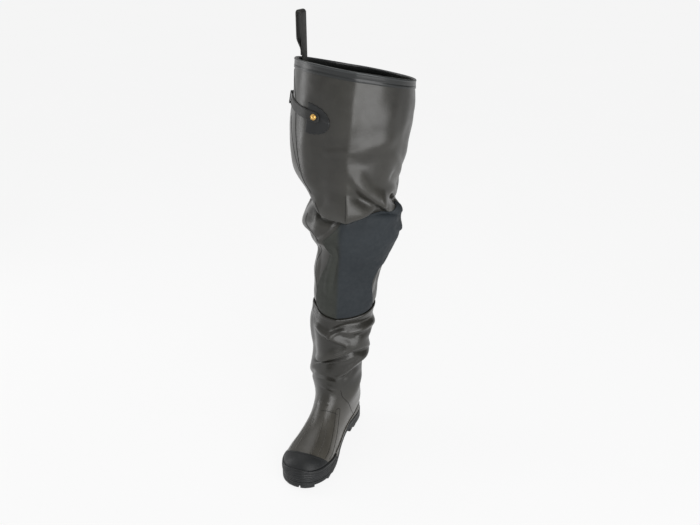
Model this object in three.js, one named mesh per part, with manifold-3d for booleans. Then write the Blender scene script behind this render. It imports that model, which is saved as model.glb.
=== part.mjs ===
// Hip wader, right boot: a moulded rubber boot with a long rubberised leg, standing empty on its sole.
// Millimetres, +Z up, toe towards -Y, inner side of the leg towards +X, origin on the floor under the
// middle of the heel.
import * as THREE from "three";
import { mergeVertices } from "three/addons/utils/BufferGeometryUtils.js";
import Module from "manifold-3d";

const wasm = await Module();
wasm.setup();

// Sizes of the foot and sole
const soleLength = 300;
const ballWidth = 110;
const instepHeight = 120;
const heelHeight = 28; // floor to the foot's underside at the heel
const foreHeight = 14; // floor to the foot's underside at the ball
const toeSpring = 9;
const cleatDepth = 6;
const heelBreast = 84; // length of the heel block
const waistRise = 10; // how far the sole's arch clears the cleats in front of the heel
const soleEdge = 4.5; // how far the sole stands out beyond the upper

// Sizes of the shaft and leg
const bootHeight = 335; // floor to the top edge of the boot
const shaftWidth = 114;
const legHeight = 835; // floor to the outer top edge
const thighWidth = 230;
const collarDrop = 36; // the inner top edge lies this much lower
const collarTilt = 13; // the front top edge lies this much higher than the middle
const legTurn = 20; // degrees that the leg is turned out from the foot
const legLean = 46; // how far the top stands inwards of the ankle
const ankleHeight = 100;
const lapDip = 13; // the boot's top edge dips this much in front
const dipReach = 60; // height over which that dip fades out

// Walls and clearances
const footWall = 2.4;
const legWall = 1.5;
const gap = 0.3;
const lap = 22; // how far the leg reaches down inside the boot
const lapRun = 16; // height over which the leg comes out to its full width above the boot
const underMargin = 14; // width of the upper's turned-in margin underneath
const insoleThick = 3;

// Sizes of the trims of the foot
const bumperHeight = 20;
const bumperThick = 3.2;
const bumperLength = 104; // back from the end of the toe
const foxingHeight = 15;
const foxingThick = 2;
const capLength = 57; // back from the end of the toe, on top of the foot
const capSlope = 10; // the cap's lower end lies this much nearer the toe
const capThick = 1.6;

// Sizes of the trims of the leg
const padThick = 1.4;
const padRise = 0.442; // top of the knee pad, as a share of the leg above the boot
const bandHeight = 15;
const bandThick = 1.2;
const patchThick = 1.2;
const patchWidth = 36;
const patchHeight = 52;
const patchBack = 4; // degrees that the patch reaches back from the snap
const snapDrop = 87; // snap below the outer top edge
const snapAngle = -33; // degrees round from the front of the thigh, outwards
const snapRadius = 6;
const snapThick = 2.4;
const strapWidth = 18;
const strapThick = 2;
const strapRise = 17; // from the snap to the outer side
const strapTip = 4; // degrees that the strap runs on past the snap
const strapEnd = -128;
const keeperAngle = -88;
const keeperSpan = 6;
const keeperWall = 2;
const loopWidth = 22;
const loopThick = 2;
const loopTop = 88; // loop above the outer top edge
const loopOpening = 10;
const loopThroat = 18; // where the folded strap opens into its loop, above the outer top edge
const loopRoot = 45; // how far its end reaches down inside the leg
const loopAngle = -112; // here the leg faces straight out to the side

const sides = 28; // facets round the leg
const radians = Math.PI / 180;

// The origin lies under the middle of the heel, and the leg's line rises from here.
const heelSetback = heelBreast / 2;
const legFoot = new THREE.Vector2(-2, heelSetback - 0.293 * soleLength);

// Foot, from the toe round to the heel. Lengths u run forward from the back of the sole as shares of
// soleLength, heights are shares of instepHeight, widths are shares of ballWidth, and the last two
// columns say how square the upper and lower halves of the section are.
//  mid u, mid z, top u, top z, low u, low z, outer, inner, top, low
const footRows = [
  [0.972, 0.285, 0.972, 0.345, 0.972, 0.225, 0.085, 0.11, 2, 2],
  [0.962, 0.285, 0.957, 0.42, 0.962, 0.185, 0.205, 0.2, 2, 2.3],
  [0.94, 0.28, 0.93, 0.475, 0.938, 0.16, 0.305, 0.268, 2.1, 2.8],
  [0.892, 0.265, 0.882, 0.515, 0.892, 0.142, 0.405, 0.348, 2.2, 3.4],
  [0.82, 0.252, 0.812, 0.545, 0.82, 0.128, 0.468, 0.4, 2.2, 4],
  [0.728, 0.245, 0.728, 0.59, 0.728, 0.1205, 0.485, 0.412, 2.1, 4],
  [0.64, 0.265, 0.648, 0.665, 0.63, 0.1205, 0.455, 0.385, 2, 4],
  [0.55, 0.315, 0.578, 0.765, 0.52, 0.134, 0.415, 0.36, 2, 4],
  [0.46, 0.385, 0.53, 0.87, 0.41, 0.178, 0.385, 0.335, 2, 4],
  [0.378, 0.465, 0.498, 0.965, 0.302, 0.226, 0.38, 0.338, 2, 4],
  [0.312, 0.55, 0.48, 1.055, 0.19, 0.2365, 0.39, 0.355, 2, 3.6],
  [0.274, 0.64, 0.467, 1.145, 0.082, 0.2375, 0.405, 0.375, 2, 3],
  [0.26, 0.73, 0.461, 1.235, 0.021, 0.3, 0.425, 0.405, 2, 2.5],
  [0.257, 0.845, 0.461, 1.335, 0.012, 0.46, 0.445, 0.43, 2, 2.3],
  [0.262, 0.98, 0.464, 1.435, 0.03, 0.69, 0.46, 0.445, 2, 2.2],
  [0.274, 1.14, 0.467, 1.535, 0.06, 0.91, 0.475, 0.46, 2, 2.1],
  [0.287, 1.34, 0.471, 1.635, 0.08, 1.14, 0.49, 0.48, 2, 2],
  [0.292, 1.56, 0.477, 1.735, 0.086, 1.39, 0.492, 0.512, 2, 2],
];
const restsBelow = 0.25; // foot rows whose low z is under this lie on the sole
const heelTurn = [9, 12]; // first and last foot row where the section swings round the heel

// Shaft, one row for each bulge or fold. Heights are shares of the way from the top of the instep to
// the top edge of the boot, and the four half widths, from the leg's own line, are shares of shaftWidth.
//  height, outer, inner, front, back
const shaftStart = 1.87 * instepHeight;
const shaftRows = [
  [0, 0.49, 0.575, 0.525, 0.545],
  [0.23, 0.525, 0.565, 0.55, 0.56],
  [0.605, 0.545, 0.64, 0.55, 0.595],
  [0.82, 0.515, 0.63, 0.53, 0.615],
  [1.0, 0.5, 0.645, 0.525, 0.63],
];

// Leg, one row for each bulge or fold. Heights are shares of the leg above the boot, and the four half
// widths are shares of the width in the last column.
//  height, outer, inner, front, back, width
const legRows = [
  [0.05, 0.5, 0.655, 0.53, 0.64, shaftWidth],
  [0.11, 0.49, 0.675, 0.545, 0.665, shaftWidth],
  [0.165, 0.5, 0.72, 0.57, 0.66, shaftWidth],
  [0.21, 0.475, 0.76, 0.605, 0.64, shaftWidth],
  [0.245, 0.455, 0.835, 0.65, 0.63, shaftWidth],
  [0.285, 0.228, 0.452, 0.348, 0.32, thighWidth],
  [0.315, 0.285, 0.478, 0.366, 0.355, thighWidth],
  [0.35, 0.35, 0.478, 0.39, 0.4, thighWidth],
  [0.39, 0.36, 0.475, 0.4, 0.418, thighWidth],
  [0.425, 0.335, 0.473, 0.405, 0.4, thighWidth],
  [0.455, 0.287, 0.427, 0.412, 0.36, thighWidth],
  [0.477, 0.298, 0.424, 0.446, 0.342, thighWidth],
  [0.505, 0.322, 0.432, 0.466, 0.342, thighWidth],
  [0.535, 0.37, 0.442, 0.47, 0.366, thighWidth],
  [0.565, 0.422, 0.44, 0.468, 0.398, thighWidth],
  [0.605, 0.463, 0.45, 0.468, 0.436, thighWidth],
  [0.67, 0.492, 0.474, 0.47, 0.466, thighWidth],
  [0.75, 0.502, 0.498, 0.476, 0.486, thighWidth],
  [0.83, 0.49, 0.522, 0.48, 0.494, thighWidth],
  [1.0, 0.462, 0.488, 0.466, 0.48, thighWidth],
];
const legSquareness = 2.15;

// Sole outline as shares of soleLength and ballWidth, from the back of the heel to the toe.
//  u, outer, inner
const outlineRows = [
  [0.0, 0.09, 0.09],
  [0.012, 0.19, 0.19],
  [0.04, 0.275, 0.27],
  [0.09, 0.335, 0.325],
  [0.16, 0.355, 0.345],
  [0.27, 0.358, 0.32],
  [0.38, 0.37, 0.302],
  [0.49, 0.415, 0.33],
  [0.6, 0.475, 0.398],
  [0.7, 0.518, 0.447],
  [0.78, 0.518, 0.45],
  [0.86, 0.47, 0.412],
  [0.92, 0.385, 0.343],
  [0.96, 0.285, 0.265],
  [0.985, 0.18, 0.185],
  [1.0, 0.06, 0.1],
];

// A smooth curve through the rows of a table, read at any value of the first column.
function table(rows) {
  const places = rows.map((row) => row[0]);
  const values = rows.flatMap((row) => row.slice(1));
  const curve = new THREE.CubicInterpolant(places, values, rows[0].length - 1);
  return (place) => Array.from(curve.evaluate(THREE.MathUtils.clamp(place, places[0], places.at(-1))));
}

const outline = table(outlineRows);

// Half widths of the sole at a distance u from its back, outer side first.
function soleHalves(u) {
  const [outer, inner] = outline(u / soleLength);
  return [outer * ballWidth, inner * ballWidth];
}

const ease = (a, b, x) => THREE.MathUtils.smoothstep(x, a, b);

// Height of the toe spring, of the foot's underside and of the sole's underside between cleats.
const spring = (u) => toeSpring * Math.max(0, (u / soleLength - 0.76) / 0.24) ** 2;
const footBed = (u) =>
  heelHeight + (foreHeight - heelHeight) * ease(0.26, 0.6, u / soleLength) + spring(u);
const waist = (u) => waistRise * (1 - ease(0.3, 0.5, u / soleLength)) * ease(heelBreast, heelBreast + 3, u);
const soleUnder = (u) => cleatDepth + waist(u) + spring(u);

// The leg's own line, and the outward and forward directions of its sections, at a height.
const turnAt = (height) => legTurn * radians * ease(ankleHeight, bootHeight * 0.75, height);
function legLine(height) {
  const lean = (legLean * (height - ankleHeight)) / (legHeight - ankleHeight);
  const turn = turnAt(height);
  return new THREE.Vector3(legFoot.x + lean * Math.cos(turn), legFoot.y + lean * Math.sin(turn), height);
}

// One section of the leg: its middle, the reach of its four sides as vectors, and its squareness.
function legStation(height, outer, inner, front, back) {
  const turn = turnAt(height);
  const side = new THREE.Vector3(Math.cos(turn), Math.sin(turn), 0);
  const ahead = new THREE.Vector3(Math.sin(turn), -Math.cos(turn), 0);
  const reach = (direction, distance) => direction.clone().multiplyScalar(distance);
  return {
    travel: height,
    values: [
      ...legLine(height),
      ...reach(ahead, front),
      ...reach(ahead, -back),
      ...reach(side, -outer),
      ...reach(side, inner),
      legSquareness,
      legSquareness,
    ],
  };
}

// One section of the foot. Its widths pass from the ball's to the shaft's, and the upper sections turn
// and lean with the leg.
function footStation([midU, midZ, topU, topZ, lowU, lowZ, outer, inner, topPower, lowPower]) {
  const at = (u, z) => new THREE.Vector3(0, heelSetback - u * soleLength, z * instepHeight);
  const mid = at(midU, midZ);
  const low = at(lowU, lowZ);
  if (lowZ < restsBelow) low.z = footBed(lowU * soleLength) + gap;
  const width = THREE.MathUtils.lerp(ballWidth, shaftWidth, ease(0.6, 1.56, midZ));
  const turn = turnAt(mid.z);
  const up = new THREE.Vector3(0, 0, 1);
  const lean = new THREE.Vector3(legLine(mid.z).x * ease(0.5 * ankleHeight, 2 * ankleHeight, mid.z), 0, 0);
  const pivot = new THREE.Vector3(legFoot.x, legFoot.y, 0);
  const turned = (v) => v.applyAxisAngle(up, turn);
  return {
    values: [
      ...turned(mid.clone().sub(pivot)).add(pivot).add(lean),
      ...turned(at(topU, topZ).sub(mid)),
      ...turned(low.sub(mid)),
      ...turned(new THREE.Vector3(-outer * width, 0, 0)),
      ...turned(new THREE.Vector3(inner * width, 0, 0)),
      topPower,
      lowPower,
    ],
  };
}

const legSpan = legHeight - bootHeight;
const legStations = [
  ...shaftRows.map(([share, ...halves]) =>
    legStation(shaftStart + share * (bootHeight - shaftStart), ...halves.map((half) => half * shaftWidth)),
  ),
  ...legRows.map(([share, outer, inner, front, back, width]) =>
    legStation(bootHeight + share * legSpan, ...[outer, inner, front, back].map((half) => half * width)),
  ),
];
const footStations = footRows.map(footStation);

// The foot's sections are numbered backwards from the first leg section, by how far their middles, tops
// and lows move on average.
function stationPoints({ values }) {
  const [mid, top, low] = [0, 3, 6].map((first) => new THREE.Vector3(...values.slice(first, first + 3)));
  return [mid, top.add(mid), low.add(mid)];
}
for (let i = footStations.length - 1, next = legStations[0]; i >= 0; next = footStations[i], i -= 1) {
  const there = stationPoints(next);
  const moves = stationPoints(footStations[i]).map((point, k) => point.distanceTo(there[k]));
  footStations[i].travel = next.travel - (moves[0] + moves[1] + moves[2]) / 3;
}
const stations = [...footStations, ...legStations];
const section = table(stations.map(({ travel, values }) => [travel, ...values]));
const toeTravel = stations[0].travel;

// Point of the wader's outer face at a travel along it and an angle round it, in degrees, 0 at the inner
// side, 90 in front, 180 outside and 270 behind.
function facePoint(travel, angle) {
  const values = section(Math.min(travel, legHeight));
  const [mid, ahead, behind, outer, inner] = [0, 3, 6, 9, 12].map(
    (first) => new THREE.Vector3(...values.slice(first, first + 3)),
  );
  const [topPower, lowPower] = values.slice(15);
  const cos = Math.cos(angle * radians);
  const sin = Math.sin(angle * radians);
  const power = 2 / (sin >= 0 ? topPower : lowPower);
  const point = mid
    .addScaledVector(cos >= 0 ? inner : outer, Math.abs(cos) ** power)
    .addScaledVector(sin >= 0 ? ahead : behind, Math.abs(sin) ** power);
  // The boot's top edge dips in front, and the collar slants inwards and back.
  const dip = Math.exp(-(((travel - bootHeight) / dipReach) ** 2)) * Math.max(0, sin) ** 2;
  const slant = ease(0.8 * legHeight, legHeight, travel);
  point.z += -lapDip * dip - slant * (collarDrop * (0.5 + 0.5 * cos) - collarTilt * sin);
  if (travel > legHeight) point.z += travel - legHeight;
  return point;
}

// The same point moved outwards by a distance, square to the face.
function place(travel, angle, outwards) {
  const step = 0.5;
  const point = facePoint(travel, angle);
  const up = facePoint(travel + step, angle).sub(facePoint(Math.max(travel - step, toeTravel), angle));
  const round = facePoint(travel, angle + step).sub(facePoint(travel, angle - step));
  return point.addScaledVector(up.cross(round).normalize(), outwards);
}

// Rings of points, joined into one closed skin. A loop joins the last ring to the first, and otherwise
// both ends are closed flat.
function skin(rings, loop) {
  const points = rings.flat();
  const count = rings[0].length;
  const faces = [];
  const bands = loop ? rings.length : rings.length - 1;
  for (let i = 0; i < bands; i += 1) {
    for (let j = 0; j < count; j += 1) {
      const a = i * count + j;
      const b = i * count + ((j + 1) % count);
      const d = ((i + 1) % rings.length) * count + j;
      const c = ((i + 1) % rings.length) * count + ((j + 1) % count);
      faces.push(a, d, b, b, d, c);
    }
  }
  const ends = loop ? [] : [0, rings.length - 1];
  for (const end of ends) {
    const middle = new THREE.Vector3();
    rings[end].forEach((p) => middle.addScaledVector(p, 1 / count));
    points.push(middle);
    for (let j = 0; j < count; j += 1) {
      const a = end * count + j;
      const b = end * count + ((j + 1) % count);
      faces.push(points.length - 1, ...(end ? [b, a] : [a, b]));
    }
  }
  const geometry = new THREE.BufferGeometry().setFromPoints(points);
  geometry.setIndex(faces);
  return geometry;
}

// Three.js geometry to a solid that can be cut, and back.
function solid(geometry) {
  const bare = geometry.clone();
  bare.deleteAttribute("normal");
  bare.deleteAttribute("uv");
  const merged = mergeVertices(bare, 1e-4);
  return new wasm.Manifold(
    new wasm.Mesh({
      numProp: 3,
      vertProperties: merged.attributes.position.array,
      triVerts: new Uint32Array(merged.index.array),
    }),
  );
}
function geometryOf(body) {
  const mesh = body.getMesh();
  const geometry = new THREE.BufferGeometry();
  geometry.setAttribute("position", new THREE.BufferAttribute(mesh.vertProperties, 3));
  geometry.setIndex(new THREE.BufferAttribute(mesh.triVerts, 1));
  return geometry;
}

const angles = Array.from({ length: sides }, (_, j) => (360 * j) / sides);
const ring = (travel, outwards) => angles.map((angle) => place(travel, angle, outwards));

// Travels at which rings stand: at each section, with one more between those that swing round the heel,
// and one at the lower edge of the collar's binding.
const bandLow = legHeight - bandHeight;
const footTravels = footStations.flatMap(({ travel }, i) => {
  const swings = i >= heelTurn[0] && i <= heelTurn[1];
  return swings ? [travel, (travel + stations[i + 1].travel) / 2] : [travel];
});
const shaftTravels = legStations.slice(0, shaftRows.length).map(({ travel }) => travel);
const legTravels = [...legStations.slice(shaftRows.length).map(({ travel }) => travel), bandLow];
legTravels.sort((a, b) => a - b);

// The whole form of the foot and shaft, grown outwards, up to the boot's top edge and a bit past it.
function bootForm(grow, past) {
  const rings = [...footTravels, ...shaftTravels].map((travel) => ring(travel, grow));
  if (past) rings.push(ring(bootHeight + past, grow));
  return solid(skin(rings, false));
}

// The form of the leg between two heights, grown outwards.
function legForm(grow, from, to) {
  const travels = [from, ...legTravels.filter((t) => t > from + 1 && t < to - 1), to];
  return solid(skin(travels.map((travel) => ring(travel, grow)), false));
}

// A slab that follows the sole's outline between two distances from its back, moved outwards, with its
// top and underside as functions of the distance. It grows at its ends as much as at its sides.
function soleSlab(outwards, top, under, from = -outwards, to = soleLength + outwards) {
  const steps = 26;
  const thinnest = 3;
  const stretch = soleLength / (soleLength + 2 * outwards);
  const rings = [];
  for (let i = 0; i <= steps; i += 1) {
    const u = from + ((to - from) * (1 - Math.cos((Math.PI * i) / steps))) / 2;
    const [outer, inner] = soleHalves((u + outwards) * stretch);
    const wide = Math.max(outer + outwards, thinnest);
    const deep = Math.max(inner + outwards, thinnest);
    const y = heelSetback - u;
    rings.push([
      new THREE.Vector3(-wide, y, under(u)),
      new THREE.Vector3(-wide, y, top(u)),
      new THREE.Vector3(deep, y, top(u)),
      new THREE.Vector3(deep, y, under(u)),
    ]);
  }
  return solid(skin(rings, false));
}

// A box between two corners given by distance from the back of the sole, across and up.
function block(u0, u1, x0, x1, z0, z1) {
  const box = new THREE.BoxGeometry(x1 - x0, u1 - u0, z1 - z0);
  box.translate((x0 + x1) / 2, heelSetback - (u0 + u1) / 2, (z0 + z1) / 2);
  return solid(box);
}

const past = 12; // how far a cutter reaches beyond what it cuts

function bootUpper() {
  const inside = bootForm(-footWall, past);
  const top = (u) => footBed(u) + gap + footWall + 2;
  const opening = soleSlab(-soleEdge - underMargin, top, (u) => footBed(u) - past / 2);
  return bootForm(0, 0).subtract(inside).subtract(opening);
}

// The leg is one loop of skin, out and up, over the top edge and down inside. Inside the boot its rings
// stand where the boot's do, so that both bend alike, but no two rings stand closer than a step.
const ringStep = 3;
function legShaft() {
  const lapOffset = -footWall - 2 * gap;
  const out = (t) => lapOffset * (1 - ease(bootHeight, bootHeight + lapRun, t));
  const shared = shaftTravels.filter((t) => t > bootHeight - lap + ringStep && t < bootHeight);
  const travels = [bootHeight - lap, ...shared, bootHeight, bootHeight + lapRun, ...legTravels];
  travels.sort((a, b) => a - b);
  const outside = travels.map((t) => ring(t, out(t)));
  const inside = travels.map((t) => ring(t, out(t) - legWall)).reverse();
  return skin([...outside, ...inside], true);
}

// Five rows of cleats under the heel, half a cleat apart, and bars along both edges and the middle of
// the forefoot. A cleat hangs from the sole and follows its toe spring.
function outsole() {
  const body = soleSlab(0, footBed, soleUnder);
  const trim = soleSlab(0, () => heelHeight, () => -1);
  const cleat = (u, length, x0, x1) =>
    block(u, u + length, x0, x1, spring(u + length / 2), cleatDepth + spring(u + length) + 1);
  const heelBar = heelBreast / 7;
  const heelSlot = 0.16 * ballWidth; // width of the channel along the middle of the heel
  const middle = heelSetback - heelBar / 2;
  const cleats = [cleat(middle, heelBar, -heelSlot, heelSlot)];
  for (const row of [0, 1, 3, 4]) {
    cleats.push(cleat(1.5 * row * heelBar, heelBar, -ballWidth, -heelSlot / 2));
    cleats.push(cleat(1.5 * row * heelBar, heelBar, heelSlot / 2, ballWidth));
  }
  const bar = 11;
  const pitch = 19;
  const reach = 0.36 * ballWidth;
  for (let u = 0.47 * soleLength; u < 0.94 * soleLength; u += pitch) {
    cleats.push(cleat(u, bar, -ballWidth, reach - ballWidth / 2));
    cleats.push(cleat(u, bar, ballWidth / 2 - reach, ballWidth));
    cleats.push(cleat(u + pitch / 2, bar * 0.6, -reach / 3, reach / 3));
  }
  return wasm.Manifold.union([body, ...cleats.map((each) => each.intersect(trim))]);
}

function insole() {
  const under = (u) => footBed(u) + 2 * gap + footWall;
  const bed = soleSlab(-soleEdge - 3 * footWall, (u) => under(u) + insoleThick, under);
  return bed.intersect(bootForm(-footWall - 2 * gap, 0));
}

// What lies between two grown forms of the boot is a skin, which the trims are cut from.
const bootSkin = (thick) => bootForm(gap + thick, 0).subtract(bootForm(gap, past));
const trimBed = (u) => footBed(u) + 2 * gap;
const trimReach = 15; // a trim's cutter reaches this far beyond the sole's outline
const bumperStart = soleLength - bumperLength;

function toeBumper() {
  const region = soleSlab(trimReach, (u) => footBed(u) + bumperHeight, trimBed, bumperStart);
  return bootSkin(bumperThick).intersect(region);
}

function sideFoxing() {
  const top = (u) => footBed(u) + foxingHeight;
  const region = soleSlab(trimReach, top, trimBed, -trimReach, bumperStart - gap);
  return bootSkin(foxingThick).intersect(region);
}

function toeCap() {
  const start = soleLength - capLength;
  const front = soleLength + 2 * trimReach;
  const profile = new THREE.Shape();
  profile.moveTo(start, instepHeight);
  for (let u = start + capSlope; u < front; u += 10) {
    profile.lineTo(u, footBed(u) + bumperHeight + 2 * gap);
  }
  profile.lineTo(front, instepHeight);
  const wedge = new THREE.ExtrudeGeometry(profile, { depth: 2 * ballWidth, bevelEnabled: false });
  // The profile's x runs forward from the back of the sole, its y is up, and it is pushed across.
  wedge.translate(-heelSetback, 0, -ballWidth);
  wedge.applyMatrix4(new THREE.Matrix4().set(0, 0, -1, 0, -1, 0, 0, 0, 0, 1, 0, 0, 0, 0, 0, 1));
  return bootSkin(capThick).intersect(solid(wedge));
}

// A flat shape seen from the front of the leg, pushed from the leg's line out past its face.
function frontPrism(shape, height) {
  const pushed = { depth: thighWidth, bevelEnabled: false, curveSegments: 8 };
  const prism = new THREE.ExtrudeGeometry(shape, pushed);
  prism.rotateX(Math.PI / 2);
  prism.rotateZ(legTurn * radians);
  const middle = legLine(height);
  prism.translate(middle.x, middle.y, 0);
  return solid(prism);
}

// The knee pad's outline, outer side first, with widths as shares of the shaft's and heights as shares
// of its own.
function kneePad() {
  const low = bootHeight + lapRun;
  const high = bootHeight + padRise * legSpan;
  const x = (share) => share * shaftWidth;
  const z = (share) => low + share * (high - low);
  const shape = new THREE.Shape();
  shape.moveTo(x(-0.47), low);
  shape.quadraticCurveTo(0, low - 1.6 * lapDip, x(0.58), low);
  shape.bezierCurveTo(x(0.5), z(0.24), x(0.72), z(0.44), x(0.86), z(0.68));
  shape.lineTo(x(0.92), z(0.88));
  shape.quadraticCurveTo(x(0.86), high, x(0.6), high);
  shape.lineTo(0, high);
  shape.quadraticCurveTo(x(-0.4), z(0.9), x(-0.5), z(0.66));
  shape.bezierCurveTo(x(-0.38), z(0.54), x(-0.32), z(0.34), x(-0.47), low);
  const outside = legForm(gap + padThick, low - 1.6 * past, high + past);
  const inside = legForm(gap, low - 2 * past, high + 1.5 * past);
  return outside.subtract(inside).intersect(frontPrism(shape, (low + high) / 2));
}

// The binding is a loop of skin round the top edge, outside and inside.
function collarBand() {
  const over = legHeight + gap;
  const inner = -legWall - gap;
  return skin(
    [
      ring(bandLow, gap),
      ring(bandLow, gap + bandThick),
      ring(over + bandThick, gap + bandThick),
      ring(over + bandThick, inner - bandThick),
      ring(bandLow, inner - bandThick),
      ring(bandLow, inner),
      ring(over, inner),
      ring(over, gap),
    ],
    true,
  );
}

// The angle used by place(), from degrees round from the front, outwards negative.
const round = (fromFront) => 90 - fromFront;

// A piece of the thigh's skin between two angles. Its middle height, half height and seat above the
// leg's face follow functions of the angle.
function thighStrip(from, to, steps, middle, half, seat, thick) {
  const rings = [];
  for (let i = 0; i <= steps; i += 1) {
    const angle = from + ((to - from) * i) / steps;
    const low = middle(angle) - half(angle);
    const high = middle(angle) + half(angle);
    const inner = seat(angle);
    rings.push([
      place(low, round(angle), inner),
      place(low, round(angle), inner + thick),
      place(high, round(angle), inner + thick),
      place(high, round(angle), inner),
    ]);
  }
  return skin(rings, false);
}

const snapHeight = legHeight - snapDrop;
const thighReach = thighWidth * 0.5 * radians; // length of one degree round the thigh
// Facets sag inwards between their corners, so the patch keeps clear of the leg by that much as well.
const facetSag = (thighWidth / 2) * (1 - Math.cos(Math.PI / sides));
const patchBed = gap + facetSag;
const patchEdge = snapAngle - patchBack;

// A straight edge under the strap and a round one in front.
function strapPatch() {
  const span = patchWidth / thighReach;
  const share = (angle) => (angle - patchEdge) / span;
  const half = (angle) => (patchHeight / 2) * Math.sqrt(Math.max(1 - share(angle) ** 2.4, 0.02));
  const middle = (angle) => snapHeight - 4 - 5 * share(angle);
  return thighStrip(patchEdge, patchEdge + span, 8, middle, half, () => patchBed, patchThick);
}

// The strap rises from the snap to the outer side, and climbs onto the patch near its tip.
const strapShare = (angle) => Math.min((snapAngle - angle) / (snapAngle - keeperAngle), 1);
const strapLine = (angle) => snapHeight + strapRise * strapShare(angle);
const strapBed = patchBed + patchThick + gap;
const strapSeat = (angle) => patchBed + (strapBed - patchBed) * ease(patchEdge - 12, patchEdge - 2, angle);
const strapTo = snapAngle + strapTip;

function sideStrap() {
  const half = (angle) => (strapWidth / 2) * (angle > strapTo - 2 ? 0.75 : 1);
  return thighStrip(strapEnd, strapTo, 20, strapLine, half, strapSeat, strapThick);
}

// The keeper is a loop: a low block over the strap with the strap's own way through it.
function strapKeeper() {
  const from = keeperAngle - keeperSpan / 2;
  const to = keeperAngle + keeperSpan / 2;
  const outerHalf = () => strapWidth / 2 + keeperWall;
  const wayHalf = () => strapWidth / 2 + gap;
  const waySeat = (angle) => strapSeat(angle) - gap;
  const whole = thighStrip(from, to, 3, strapLine, outerHalf, strapSeat, strapThick + gap + keeperWall);
  const way = thighStrip(from - 2, to + 2, 5, strapLine, wayHalf, waySeat, strapThick + 2 * gap);
  return solid(whole).subtract(solid(way));
}

// A press stud with a stepped edge and a low round top, turned to face out of the thigh.
function snap() {
  const profile = [
    [0, 0],
    [snapRadius, 0],
    [snapRadius, snapThick * 0.45],
    [snapRadius * 0.8, snapThick * 0.8],
    [snapRadius * 0.45, snapThick],
    [0, snapThick],
  ].map(([r, z]) => new THREE.Vector2(r, z));
  const button = new THREE.LatheGeometry(profile, 20);
  button.rotateX(Math.PI / 2);
  const angle = round(snapAngle);
  const bulge = snapRadius ** 2 / thighWidth; // the strap's curve rises this much across the stud
  const seat = strapBed + strapThick + gap + bulge;
  const foot = place(snapHeight, angle, seat);
  const ahead = place(snapHeight, angle, seat + 1).sub(foot).normalize();
  button.applyQuaternion(new THREE.Quaternion().setFromUnitVectors(new THREE.Vector3(0, 0, 1), ahead));
  button.translate(foot.x, foot.y, foot.z);
  return button;
}

// A flat strap that rises from inside the top edge and folds back on itself as a belt loop. Its outline
// is drawn with x outwards and y up from the top edge.
function beltStrap() {
  const out = loopOpening;
  const r = out / 2;
  const bend = loopTop - r;
  const outer = new THREE.Shape();
  outer.moveTo(0, -loopRoot);
  outer.lineTo(loopThick, -loopRoot);
  outer.lineTo(loopThick, loopThroat);
  outer.quadraticCurveTo(out + loopThick, loopThroat + out, out + loopThick, loopThroat + 2 * out);
  outer.lineTo(out + loopThick, bend);
  outer.absarc(r + loopThick / 2, bend, r + loopThick / 2, 0, Math.PI, false);
  outer.lineTo(0, -loopRoot);
  const hole = new THREE.Path();
  hole.moveTo(loopThick, loopThroat + 3 * loopThick);
  hole.quadraticCurveTo(out, loopThroat + out + 2 * loopThick, out, loopThroat + 2 * out + loopThick);
  hole.lineTo(out, bend);
  hole.absarc(r + loopThick / 2, bend, r - loopThick / 2, 0, Math.PI, false);
  outer.holes.push(hole);
  const strap = new THREE.ExtrudeGeometry(outer, { depth: loopWidth, bevelEnabled: false, curveSegments: 8 });
  strap.translate(0, 0, -loopWidth / 2);
  strap.rotateX(Math.PI / 2);
  strap.rotateZ(Math.PI);
  // The strap is flat across the curve of the leg, so its edges lie nearer the binding than its middle.
  const loopSag = loopWidth ** 2 / (4 * thighWidth);
  const inset = legWall + bandThick + loopThick + 2 * gap + loopSag + facetSag;
  const rim = facePoint(legHeight, round(loopAngle));
  strap.translate(rim.x + inset, rim.y, rim.z);
  return strap;
}

const rubber = (color, roughness) => new THREE.MeshStandardMaterial({ color, roughness, metalness: 0 });
const olive = rubber(0x54534f, 0.45);
const black = rubber(0x2a2b2b, 0.4);
const padBlack = rubber(0x33373a, 0.8);
const lining = rubber(0x8c8a80, 0.9);
const brass = new THREE.MeshStandardMaterial({ color: 0xb9904d, roughness: 0.35, metalness: 1 });

const wader = new THREE.Group();
function add(name, geometry, material) {
  const mesh = new THREE.Mesh(geometry, material);
  mesh.name = name;
  wader.add(mesh);
}

add("boot_upper", geometryOf(bootUpper()), olive);
add("leg_shaft", legShaft(), olive);
add("outsole", geometryOf(outsole()), black);
add("insole", geometryOf(insole()), lining);
add("toe_cap", geometryOf(toeCap()), black);
add("toe_bumper", geometryOf(toeBumper()), black);
add("side_foxing", geometryOf(sideFoxing()), olive);
add("knee_pad", geometryOf(kneePad()), padBlack);
add("collar_band", collarBand(), black);
add("strap_patch", strapPatch(), black);
add("side_strap", sideStrap(), olive);
add("strap_keeper", geometryOf(strapKeeper()), black);
add("snap", snap(), brass);
add("belt_strap", beltStrap(), olive);

export default wader;
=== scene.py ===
# %% [markdown]
# # Hip wader for the right foot
# A moulded rubber boot with a long, slack, rubberised leg, standing empty on a pale floor. The solid
# model gives the frame that everything here is built around: +Z is up, the toe points towards -Y, the
# inner side of the leg faces +X, and lengths are metres. Each step first says what the piece is on a
# real wader, how it could be made, and why it is made this way.

import math

import bpy
import numpy as np
from mathutils import Matrix, Vector
from mathutils.bvhtree import BVHTree


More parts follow.
